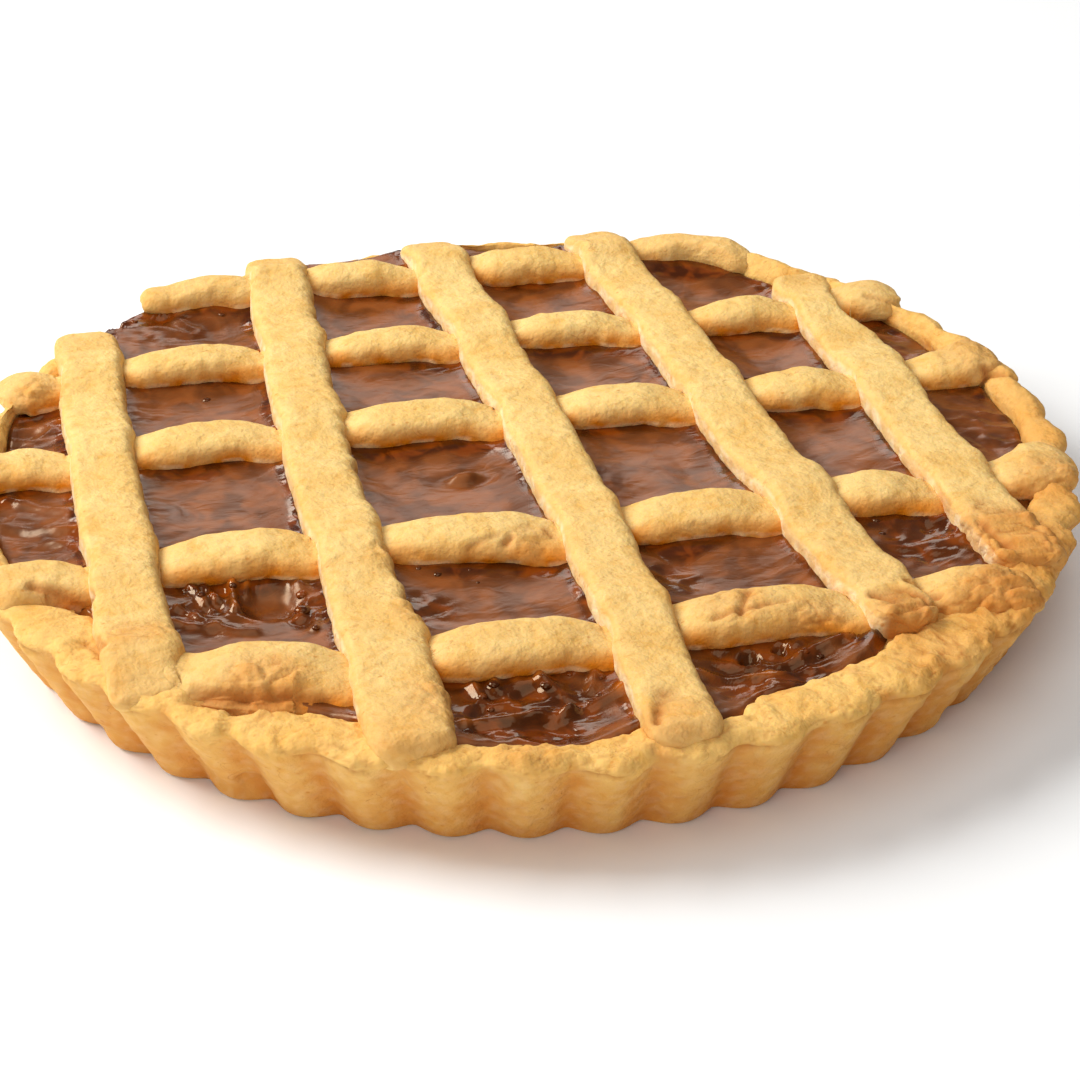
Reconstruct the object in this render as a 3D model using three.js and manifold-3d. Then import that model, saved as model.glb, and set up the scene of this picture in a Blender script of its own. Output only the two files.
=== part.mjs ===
// A round dulce de leche tart: a fluted shortcrust shell, filled with caramel up to its rim,
// under an open lattice of ten pastry strips. Five cross strips lie in the caramel and five
// long strips lie over them, and all ten end on the rim.
// Millimetres, +Z up, origin at the middle of the flat underside. +Y runs along the long strips.
import * as THREE from "three";
import { mergeVertices } from "three/addons/utils/BufferGeometryUtils.js";
import Module from "manifold-3d";

const wasm = await Module();
wasm.setup();

// Shell
const RIM_RADIUS = 125;
const BASE_RADIUS = 113.6;
const RIM_HEIGHT = 24;
const FLUTES = 46;
const FLUTE_DEPTH = 3.2;
const FLUTE_START = THREE.MathUtils.degToRad(-100.8);
const STEPS_PER_FLUTE = 5;
const RIM_WIDTH = 10;
const RIM_WIDENING = 4.6;
const CAVITY_FLOOR = 5.5;
const CAVITY_FOOT = 105;
const RIM_UNEVENNESS = 0.7;

// Low places of the rim, where the caramel has run over it: middle and half-width in degrees,
// depth in millimetres.
const RIM_DIPS = [
  { at: 126, spread: 11, depth: 2.6 },
  { at: 99, spread: 8, depth: 1.2 },
];

// Caramel
const CARAMEL_LEVEL = 21.6;
const CARAMEL_UNEVENNESS = 0.45;
const CARAMEL_RISE = 2.2;
const CARAMEL_RINGS = 4;
const CARAMEL_SEGMENTS = 40;

// Strips
const STRIP_SINK = 1.0;
const STRIP_STEPS = 17;
const STRIP_SECTION_STEPS = 6;
const STRIP_SHOULDER = 0.5;
const CROSS_HUMP = 6.4;
const CROSS_PRESSED = 3.4;
const LONG_HEIGHT = 6.2;
const LONG_LIFT = 1.2;
const RIM_FLATTENING = 0.66;
const END_HEIGHT = 3.4;
const END_LENGTH = 16;
const CLEARANCE = 0.3;
const AXIS = 0.5;

// Each strip's middle line runs through a few places, as pairs of the way along it and across
// it: [y, x] for a long strip from front to back, [x, y] for a cross strip from left to right.
// Lips say how far each end hangs down over the rim.
const LONG_STRIPS = [
  { line: [[-81, -91], [-25, -90.4], [30, -90], [86, -87.8]], width: 14, lips: [1.5, 0] },
  { line: [[-114, -43], [-60, -42.6], [0, -42.8], [60, -40], [119, -36.8]], width: 14.8, lips: [1.5, 0] },
  { line: [[-121, 8.3], [-50, 8.9], [0, 8], [60, 6], [121, 3]], width: 15, lips: [1.5, 0] },
  { line: [[-89, 62.5], [-50, 57], [5, 51.8], [60, 49], [116, 43]], width: 15.4, lips: [0, 0] },
  { line: [[-71, 95.5], [-30, 91.5], [20, 89.6], [79, 87.6]], width: 16, lips: [0.5, 0] },
];
const CROSS_STRIPS = [
  { line: [[-70, 103.5], [-40, 106.5], [20, 107], [68, 105]], width: 10, lips: [0, 0] },
  { line: [[-106, 63], [-60, 66.5], [0, 67], [60, 64.5], [112, 59]], width: 13, lips: [1, 0.8] },
  { line: [[-120, 24], [-60, 24.5], [0, 25], [60, 24], [124, 20.5]], width: 15, lips: [2, 1.5] },
  { line: [[-119, -31], [-66, -27], [-16, -31], [60, -30.5], [119, -30.5]], width: 15, lips: [2, 1] },
  { line: [[-88, -78], [-40, -75], [30, -75.5], [92, -77]], width: 16.5, lips: [1.5, 1.5] },
];

const DOUGH = { color: 0xe3ad5c, roughness: 0.8, metalness: 0 };
const CARAMEL = { color: 0x6b3413, roughness: 0.25, metalness: 0 };

const smooth = (low, high, value) => THREE.MathUtils.smoothstep(value, low, high);
const lerp = THREE.MathUtils.lerp;

// A slow ripple round the tart, between -1 and 1, the same on every run.
function ripple(angle, seed) {
  const turns = [3, 5, 8, 13, 21];
  const sum = turns.reduce((total, n, i) => total + Math.sin(n * angle + seed * (i + 1.7)), 0);
  return sum / turns.length;
}

// How far a flute stands out, from 0 in a crease to 1 on a ridge: round ridges, narrow creases.
function flute(angle) {
  const wave = Math.cos((FLUTES * (angle - FLUTE_START)) / 2);
  const softness = 0.22;
  return (Math.hypot(wave, softness) - softness) / (Math.hypot(1, softness) - softness);
}

// How much lower than usual the rim is at an angle.
function rimDip(angle) {
  return RIM_DIPS.reduce((total, dip) => {
    const off = Math.abs(THREE.MathUtils.radToDeg(angle) - dip.at) / dip.spread;
    return total + dip.depth * (1 - smooth(0.4, 1.2, off));
  }, 0);
}

// The rim's height above the table at an angle, with its unevenness and its low places.
function rimHeight(angle) {
  return RIM_HEIGHT + RIM_UNEVENNESS * ripple(angle, 1.3) - rimDip(angle);
}

// Where the shell ends and the caramel begins, seen from above: the rim is wide at the front
// and narrow at the back and where it is low.
function innerRadius(angle) {
  const plain = RIM_RADIUS - RIM_WIDTH + RIM_WIDENING * Math.sin(angle);
  return plain + 0.9 * ripple(angle, 2.4) + 0.6 * rimDip(angle);
}

// Turns a lathe profile of [radius, height] pairs into a body standing on +Z, then moves each of
// its points by a rule that gets angle, radius and height. Points on the axis stay on it.
function turned(profile, segments, rule) {
  const points = profile.map(([radius, height]) => new THREE.Vector2(radius, height));
  const geometry = new THREE.LatheGeometry(points, segments).rotateX(Math.PI / 2);
  const place = geometry.getAttribute("position");
  for (let i = 0; i < place.count; i++) {
    const angle = Math.atan2(place.getY(i), place.getX(i));
    const radius = Math.hypot(place.getX(i), place.getY(i));
    const moved = rule(angle, radius, place.getZ(i));
    const out = radius < AXIS ? 0 : moved.radius;
    place.setXYZ(i, out * Math.cos(angle), out * Math.sin(angle), moved.height);
  }
  return geometry;
}

// A closed geometry as a solid that can be cut and joined.
function solid(geometry) {
  const bare = new THREE.BufferGeometry().setAttribute("position", geometry.getAttribute("position"));
  if (geometry.index) bare.setIndex(geometry.index);
  const merged = mergeVertices(bare, 1e-3);
  return new wasm.Manifold(
    new wasm.Mesh({
      numProp: 3,
      vertProperties: new Float32Array(merged.getAttribute("position").array),
      triVerts: new Uint32Array(merged.index.array),
    }),
  );
}

// A solid as a named mesh of its own.
function meshOf(name, body, finish) {
  const { vertProperties, triVerts, numProp } = body.getMesh();
  const geometry = new THREE.BufferGeometry();
  const place = new THREE.BufferAttribute(new Float32Array(vertProperties), numProp);
  geometry.setAttribute("position", place);
  geometry.setIndex(new THREE.BufferAttribute(new Uint32Array(triVerts), 1));
  geometry.computeVertexNormals();
  const mesh = new THREE.Mesh(geometry, new THREE.MeshStandardMaterial(finish));
  mesh.name = name;
  return mesh;
}

// The outside of the shell, grown by a clearance, with a plain lid across its rim.
function shellOutside(grow) {
  const wall = RIM_RADIUS - BASE_RADIUS;
  const profile = [
    [0, 0],
    [BASE_RADIUS - 0.8, 0],
    [BASE_RADIUS + 0.1 * wall, 2.2],
    [BASE_RADIUS + 0.9 * wall, RIM_HEIGHT - 3.4],
    [RIM_RADIUS, RIM_HEIGHT - 1.7],
    [RIM_RADIUS - 2.2, RIM_HEIGHT],
    [RIM_RADIUS - 6.5, RIM_HEIGHT + 0.2],
    [0, RIM_HEIGHT - 0.6],
  ];
  return turned(profile, FLUTES * STEPS_PER_FLUTE, (angle, radius, height) => {
    const fade = 1 - 0.55 * smooth(RIM_HEIGHT - 4, RIM_HEIGHT, height);
    const onWall = smooth(BASE_RADIUS - 3, BASE_RADIUS - 1, radius);
    const inward = FLUTE_DEPTH * fade * onWall * (1 - flute(angle));
    const rise = smooth(0.4 * RIM_HEIGHT, RIM_HEIGHT, height) * (rimHeight(angle) - RIM_HEIGHT);
    const crumb = 0.6 * smooth(RIM_HEIGHT - 5, RIM_HEIGHT, height) * onWall * ripple(angle, 4.1);
    const up = height > RIM_HEIGHT - 1 ? grow : 0;
    return { radius: radius - inward + crumb + 1.5 * grow * onWall, height: height + rise + up };
  });
}

// The hollow of the shell, grown or shrunk by a clearance, up past the rim. Its profile's
// radius counts from 0 at the foot of the hollow's wall to 1 at its top.
function hollow(grow, top) {
  const floor = CAVITY_FLOOR - grow;
  const profile = [
    [0, floor],
    [CAVITY_FOOT, floor],
    [CAVITY_FOOT + 0.35, floor + 3],
    [CAVITY_FOOT + 0.8, CARAMEL_LEVEL - 3],
    [CAVITY_FOOT + 1, top],
    [0, top],
  ];
  return turned(profile, FLUTES, (angle, radius, height) => ({
    radius: lerp(CAVITY_FOOT, innerRadius(angle), radius - CAVITY_FOOT) + grow,
    height,
  }));
}

// The caramel's free surface: gently uneven, and risen over the low rim at the back.
function caramelTop(x, y) {
  const waves = Math.sin(x / 13 + 0.7) * Math.cos(y / 11 - 0.4) + 0.6 * Math.sin((x + 1.6 * y) / 8.5);
  const back = smooth(0.55, 0.95, Math.sin(Math.atan2(y, x)));
  const rise = CARAMEL_RISE * back * smooth(98, 116, Math.hypot(x, y));
  return CARAMEL_LEVEL + CARAMEL_UNEVENNESS * waves + rise;
}

// The caramel above a plane inside the hollow, before the strips are pressed into it.
function caramelBlock() {
  const inner = RIM_RADIUS;
  const rings = Array.from({ length: CARAMEL_RINGS }, (_, i) => inner * (1 - (i + 0.5) / CARAMEL_RINGS));
  const profile = [
    [0, CAVITY_FLOOR - 3],
    [inner, CAVITY_FLOOR - 3],
    [inner, CARAMEL_LEVEL],
    ...rings.map((radius) => [radius, CARAMEL_LEVEL]),
    [0, CARAMEL_LEVEL],
  ];
  return turned(profile, CARAMEL_SEGMENTS, (angle, radius, height) => {
    const free = height > CAVITY_FLOOR;
    const x = radius * Math.cos(angle);
    const y = radius * Math.sin(angle);
    return { radius, height: free ? caramelTop(x, y) : height };
  });
}

// Where a strip lies: how far it has climbed onto the rim, from 0 to 1, the ground it lies on
// and the height of its underside. It is sunk into the caramel, then goes up onto the rim and
// down outside it by its lip.
function bed(x, y, lip) {
  const radius = Math.hypot(x, y);
  const inner = innerRadius(Math.atan2(y, x));
  const climb = smooth(inner - 6, inner + 2, radius);
  const drop = lip * smooth(RIM_RADIUS - 7, RIM_RADIUS + 1, radius);
  const sunk = CARAMEL_LEVEL - STRIP_SINK;
  return {
    climb,
    ground: lerp(sunk, RIM_HEIGHT - 0.6, climb) - drop,
    floor: sunk + 1.2 * smooth(inner + 1, inner + 5, radius) - drop,
  };
}

// A strip's middle line as a curve: its place across for any way along.
function middleLine(strip) {
  const along = strip.line.map((pair) => pair[0]);
  const across = strip.line.map((pair) => pair[1]);
  const curve = new THREE.CubicInterpolant(along, across, 1);
  return (way) => curve.evaluate(way)[0];
}

// A strip's middle line in plan, with its floor, top and half-width at each share of its length.
function stripLine(strip, isLong, heightRule) {
  const start = strip.line[0][0];
  const end = strip.line.at(-1)[0];
  const curve = middleLine(strip);
  return (share, grow) => {
    const along = lerp(start, end, share);
    const across = curve(along);
    const x = isLong ? across : along;
    const y = isLong ? along : across;
    const toEnd = Math.min(share, 1 - share) * (end - start);
    const { climb, ground, floor } = bed(x, y, share < 0.5 ? strip.lips[0] : strip.lips[1]);
    const rest = heightRule(along, across) * lerp(1, RIM_FLATTENING, climb);
    const height = lerp(END_HEIGHT, rest, smooth(0, END_LENGTH, toEnd));
    const tip = 0.88 + 0.12 * smooth(0, 0.35 * END_LENGTH, toEnd);
    return {
      x,
      y,
      floor: floor - grow,
      top: ground + height + grow,
      half: (strip.width / 2) * tip + grow,
    };
  };
}

// The strip of the other set that lies nearest to a place: its distance and its half-width.
function nearest(strips, along, across) {
  const offsets = strips.map((strip) => ({
    distance: Math.abs(along - middleLine(strip)(across)),
    half: strip.width / 2,
  }));
  return offsets.reduce((best, next) => (next.distance < best.distance ? next : best));
}

// A cross strip is pressed down under each long strip and stays puffed up between them.
function crossHeight(along, across) {
  const under = nearest(LONG_STRIPS, along, across);
  const puff = smooth(under.half - 2, under.half + 8, under.distance);
  return lerp(CROSS_PRESSED, CROSS_HUMP, puff);
}

// A long strip is lifted a little where it lies over a cross strip.
function longHeight(along, across) {
  const over = nearest(CROSS_STRIPS, along, across);
  return LONG_HEIGHT + LONG_LIFT * (1 - smooth(over.half - 2, over.half + 10, over.distance));
}

// The cross-section of a strip, one wide and one high: a flat underside, upright sides and
// rounded shoulders.
function stripSection() {
  const points = [];
  for (let i = 0; i <= STRIP_SECTION_STEPS; i++) {
    const turn = (Math.PI * i) / STRIP_SECTION_STEPS;
    const across = Math.sign(Math.cos(turn)) * Math.abs(Math.cos(turn)) ** STRIP_SHOULDER;
    points.push(new THREE.Vector2(across, Math.max(0, Math.sin(turn)) ** STRIP_SHOULDER));
  }
  return new THREE.Shape(points);
}

// A strip: its section run along its middle line. Grown, it is the space that it needs.
function stripBody(strip, isLong, heightRule, grow = 0) {
  const geometry = new THREE.ExtrudeGeometry(stripSection(), {
    depth: 1,
    steps: STRIP_STEPS,
    bevelEnabled: false,
  });
  const line = stripLine(strip, isLong, heightRule);
  const place = geometry.getAttribute("position");
  const length = strip.line.at(-1)[0] - strip.line[0][0];
  const step = 1e-3;
  for (let i = 0; i < place.count; i++) {
    const share = lerp(-grow / length, 1 + grow / length, place.getZ(i));
    const inside = THREE.MathUtils.clamp(share, 0, 1 - step);
    const here = line(inside, grow);
    const ahead = line(inside + step, grow);
    const heading = new THREE.Vector2(ahead.x - here.x, ahead.y - here.y).normalize();
    const beyond = (share - inside) * length;
    const across = place.getX(i) * here.half;
    place.setXYZ(
      i,
      here.x + heading.x * beyond - heading.y * across,
      here.y + heading.y * beyond + heading.x * across,
      lerp(here.floor, here.top, place.getY(i)),
    );
  }
  return solid(geometry);
}

const crossBodies = CROSS_STRIPS.map((strip) => stripBody(strip, false, crossHeight));
const crossSpaces = CROSS_STRIPS.map((strip) => stripBody(strip, false, crossHeight, CLEARANCE));
const longBodies = LONG_STRIPS.map((strip) => stripBody(strip, true, longHeight));
const longSpaces = LONG_STRIPS.map((strip) => stripBody(strip, true, longHeight, CLEARANCE));

const tooHigh = RIM_HEIGHT + 8;
const shell = solid(shellOutside(0)).subtract(solid(hollow(0, tooHigh)));
const shellSpace = solid(shellOutside(CLEARANCE)).subtract(solid(hollow(-CLEARANCE, tooHigh)));
const strips = [...crossSpaces, ...longSpaces];
const caramel = strips.reduce(
  (body, space) => body.subtract(space),
  solid(caramelBlock()).intersect(solid(hollow(-CLEARANCE, tooHigh))),
);

// The largest body of a cut solid, without the crumbs that the cut leaves.
function main(body) {
  return body.decompose().reduce((best, next) => (next.volume() > best.volume() ? next : best));
}

const tart = new THREE.Group();
tart.name = "lattice_tart";
tart.add(meshOf("crust", main(shell), DOUGH));
tart.add(meshOf("filling", main(caramel), CARAMEL));
crossBodies.forEach((body, i) => {
  const cut = body.subtract(shellSpace);
  tart.add(meshOf(`cross_strip_${i + 1}`, main(cut), DOUGH));
});
longBodies.forEach((body, i) => {
  const cut = crossSpaces.reduce((rest, space) => rest.subtract(space), body.subtract(shellSpace));
  tart.add(meshOf(`long_strip_${i + 1}`, main(cut), DOUGH));
});

export default tart;
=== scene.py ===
"""A round dulce de leche tart under an open lattice of pastry strips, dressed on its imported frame.

The classes hold their sizes in millimetres, with +Z up and the origin at the middle of the flat
underside. Blender's metres come in where a mesh is finished and where the camera and the lamps
are placed. +Y runs along the long strips, away from the camera.
"""

import logging
import math
from dataclasses import dataclass, field
from enum import Enum
from functools import cached_property

import bmesh
import bpy
from mathutils import Matrix, Vector, noise
from mathutils.bvhtree import BVHTree


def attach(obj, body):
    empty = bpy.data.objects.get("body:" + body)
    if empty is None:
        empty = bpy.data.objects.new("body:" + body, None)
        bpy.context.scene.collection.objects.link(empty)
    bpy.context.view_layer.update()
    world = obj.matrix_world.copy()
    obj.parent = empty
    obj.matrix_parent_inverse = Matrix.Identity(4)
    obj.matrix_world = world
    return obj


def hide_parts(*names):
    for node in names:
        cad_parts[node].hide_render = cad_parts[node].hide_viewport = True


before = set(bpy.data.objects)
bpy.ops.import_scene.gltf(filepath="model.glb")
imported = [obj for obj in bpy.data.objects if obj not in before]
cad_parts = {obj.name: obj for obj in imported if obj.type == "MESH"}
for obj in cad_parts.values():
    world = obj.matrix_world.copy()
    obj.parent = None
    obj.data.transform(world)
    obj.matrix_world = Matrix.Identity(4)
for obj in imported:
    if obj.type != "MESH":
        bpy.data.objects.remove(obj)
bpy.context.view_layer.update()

MM = 0.001
Socket = bpy.types.NodeSocket
Colour = tuple[float, float, float]
Triple = tuple[float, float, float]
Place = tuple[float, float]
Value = Socket | float | Triple
Finish = bpy.types.Material
Mesh = bmesh.types.BMesh
Piece = bpy.types.Object

log = logging.getLogger("tart")


def smooth(low: float, high: float, value: float) -> float:
    """Eases a value from 0 at the low limit to 1 at the high one, which may be the lesser."""
    share = min(1.0, max(0.0, (value - low) / (high - low)))
    return share * share * (3 - 2 * share)


def lerp(first: float, last: float, share: float) -> float:
    """Goes from a first value to a last one by a share."""
    return first + (last - first) * share


def ripple(angle: float, seed: float) -> float:
    """Gives a slow ripple between -1 and 1 at an angle in radians, another for each seed."""
    turns = (3, 5, 8, 13, 21)
    return sum(math.sin(n * angle + seed * (i + 1.7)) for i, n in enumerate(turns)) / len(turns)


def bearing(place: Vector) -> float:
    """Gives the angle in radians at which a place lies round the tart's middle."""
    return math.atan2(place.y, place.x)


def turned_out(angle: float, radius: float, height: float) -> Vector:
    """Gives the place at an angle round the tart, a radius from its middle and a height."""
    return Vector((radius * math.cos(angle), radius * math.sin(angle), height))


def grain(place: Vector, size: float, seed: float = 0.0) -> float:
    """Gives soft noise between about -0.7 and 0.7, with swellings of a size in millimetres."""
    return noise.noise(place / size + Vector((seed, 2.3 * seed, -1.7 * seed)))


def srgb(red: int, green: int, blue: int) -> Colour:
    """Turns a colour as a screen shows it, from 0 to 255, into the shader's linear values."""
    def linear(level: int) -> float:
        """Turns one channel into its linear value."""
        share = level / 255
        return share / 12.92 if share <= 0.04045 else ((share + 0.055) / 1.055) ** 2.4
    return linear(red), linear(green), linear(blue)


class Way(Enum):
    """The way that a strip runs over the tart."""

    LONG = "long"
    CROSS = "cross"


@dataclass(frozen=True)
class Dip:
    """A low place of the rim, where the caramel has run over it."""

    at: float
    spread: float
    depth: float

    def share(self, angle: float) -> float:
        """Says how much of the dip is felt at an angle in radians, from 0 to 1."""
        return 1 - smooth(0.4, 1.2, abs(math.degrees(angle) - self.at) / self.spread)


@dataclass(frozen=True)
class RimEdge:
    """A stretch where the rim's inner edge lies further out, or further in where it is negative."""

    at: float
    spread: float
    shift: float

    def share(self, angle: float) -> float:
        """Says how much of the shift is felt at an angle in radians, from 0 to 1."""
        off = abs((math.degrees(angle) - self.at + 180) % 360 - 180)
        return 1 - smooth(0.35, 1.0, off / self.spread)


@dataclass(frozen=True)
class TartForm:
    """The forms that the tart's pieces share, as its solids have them."""

    rim_radius: float = 125.0
    base_radius: float = 113.6
    rim_height: float = 24.0
    flutes: int = 46
    flute_depth: float = 3.2
    flute_start: float = math.radians(-100.8)
    rim_width: float = 10.0
    rim_widening: float = 4.6
    rim_unevenness: float = 0.7
    flute_softness: float = 0.22
    dips: tuple[Dip, ...] = (
        Dip(126, 11, 2.6), Dip(99, 8, 1.2), Dip(33, 8, -2.2), Dip(20, 7, -1.4), Dip(8, 8, -1.6),
        Dip(48, 8, -3.2), Dip(56, 6, -1.8), Dip(-8, 8, -1.2),
    )
    edges: tuple[RimEdge, ...] = (
        RimEdge(-103, 17, 4.5), RimEdge(-81.5, 6, 3.5), RimEdge(-68, 15, -3.0),
        RimEdge(-50, 12, -8.0), RimEdge(0, 24, 2.0), RimEdge(56, 9, 4.0), RimEdge(27, 10, 2.8),
        RimEdge(151, 9, 2.0), RimEdge(-158, 11, -5.5), RimEdge(-128, 15, -2.0),
    )
    cavity_floor: float = 5.5
    cavity_foot: float = 105.0
    caramel_level: float = 21.6
    caramel_unevenness: float = 0.45
    caramel_rise: float = 2.2
    strip_sink: float = 1.0

    @property
    def plain_inner(self) -> float:
        """The hollow's radius at its top before the rim's width varies."""
        return self.rim_radius - self.rim_width

    def flute(self, angle: float) -> float:
        """Says how far a flute stands out: 0 in a crease, 1 on a round ridge."""
        wave = math.cos(self.flutes * (angle - self.flute_start) / 2)
        softness = self.flute_softness
        return (math.hypot(wave, softness) - softness) / (math.hypot(1, softness) - softness)

    def dip(self, angle: float) -> float:
        """Gives how much lower than usual the rim is at an angle."""
        return sum(dip.depth * dip.share(angle) for dip in self.dips)

    def rim_top(self, angle: float) -> float:
        """Gives the rim's height at an angle, with its unevenness and its low places."""
        return self.rim_height + self.rim_unevenness * ripple(angle, 1.3) - self.dip(angle)

    def inner_radius(self, angle: float) -> float:
        """Gives where the hollow's wall ends at its top, seen from above."""
        plain = self.plain_inner + self.rim_widening * math.sin(angle)
        return plain + 0.9 * ripple(angle, 2.4) + 0.6 * self.dip(angle)

    def edge_shift(self, angle: float) -> float:
        """Gives how far the rim's dough ends outside that wall, or inside it where negative."""
        return sum(edge.shift * edge.share(angle) for edge in self.edges)

    def dough_edge(self, angle: float) -> float:
        """Gives the radius at which the rim's dough ends and the caramel begins."""
        return self.inner_radius(angle) + self.edge_shift(angle)

    def caramel_top(self, x: float, y: float) -> float:
        """Gives the height of the caramel's free surface, without its skin's relief."""
        waves = math.sin(x / 13 + 0.7) * math.cos(y / 11 - 0.4) + 0.6 * math.sin((x + 1.6 * y) / 8.5)
        back = smooth(0.55, 0.95, math.sin(bearing(Vector((x, y)))))
        rise = self.caramel_rise * back * smooth(98, 116, math.hypot(x, y))
        return self.caramel_level + self.caramel_unevenness * waves + rise


FORM = TartForm()


@dataclass(frozen=True)
class Swell:
    """A stretch of a strip that is wider, or narrower where negative, to the left and the right."""

    at: float
    spread: float
    left: float
    right: float


@dataclass(frozen=True)
class StripPlan:
    """Where a strip runs and how wide it is.

    The line's places are pairs of the way along the strip and across it: y and x for a long
    strip, x and y for a cross strip. Lips say how far each end hangs down over the rim, and
    the fray how ragged the strip's right edge is.
    """

    name: str
    way: Way
    line: tuple[Place, ...]
    width: float
    lips: tuple[float, float]
    swells: tuple[Swell, ...] = ()
    ends: tuple[float, float] = (3.4, 3.4)
    fray: float = 0.25

    @property
    def start(self) -> float:
        """The first end's place along the strip."""
        return self.line[0][0]

    @property
    def end(self) -> float:
        """The last end's place along the strip."""
        return self.line[-1][0]

    @property
    def half(self) -> float:
        """Half of the strip's width."""
        return self.width / 2

    def slope(self, index: int) -> float:
        """Gives the line's slope at one of its places, the mean of the slopes beside it."""
        pairs = zip(self.line[max(index - 1, 0):index + 1], self.line[max(index, 1):index + 2])
        steps = [(after[1] - before[1]) / (after[0] - before[0]) for before, after in pairs
                 if after[0] > before[0]]
        return sum(steps) / len(steps)

    def across(self, along: float) -> float:
        """Gives the middle line's place across for any way along.

        Args:
            along: The way along the strip, in millimetres.

        Returns:
            The place across, on a smooth curve through the line's places.
        """
        last = len(self.line) - 2
        index = next((i for i in range(last) if along < self.line[i + 1][0]), last)
        (before, low), (after, high) = self.line[index], self.line[index + 1]
        span = after - before
        t = (along - before) / span
        rising = (t ** 3 - 2 * t ** 2 + t) * span * self.slope(index)
        falling = (t ** 3 - t ** 2) * span * self.slope(index + 1)
        blend = t * t * (3 - 2 * t)
        return lerp(low, high, blend) + rising + falling


@dataclass(frozen=True)
class Row:
    """One row across a strip: its place, its heading and its section's sizes."""

    along: float
    into: float
    middle: Vector
    heading: Vector
    floor: float
    top: float
    left: float
    right: float
    shrink: float


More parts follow.
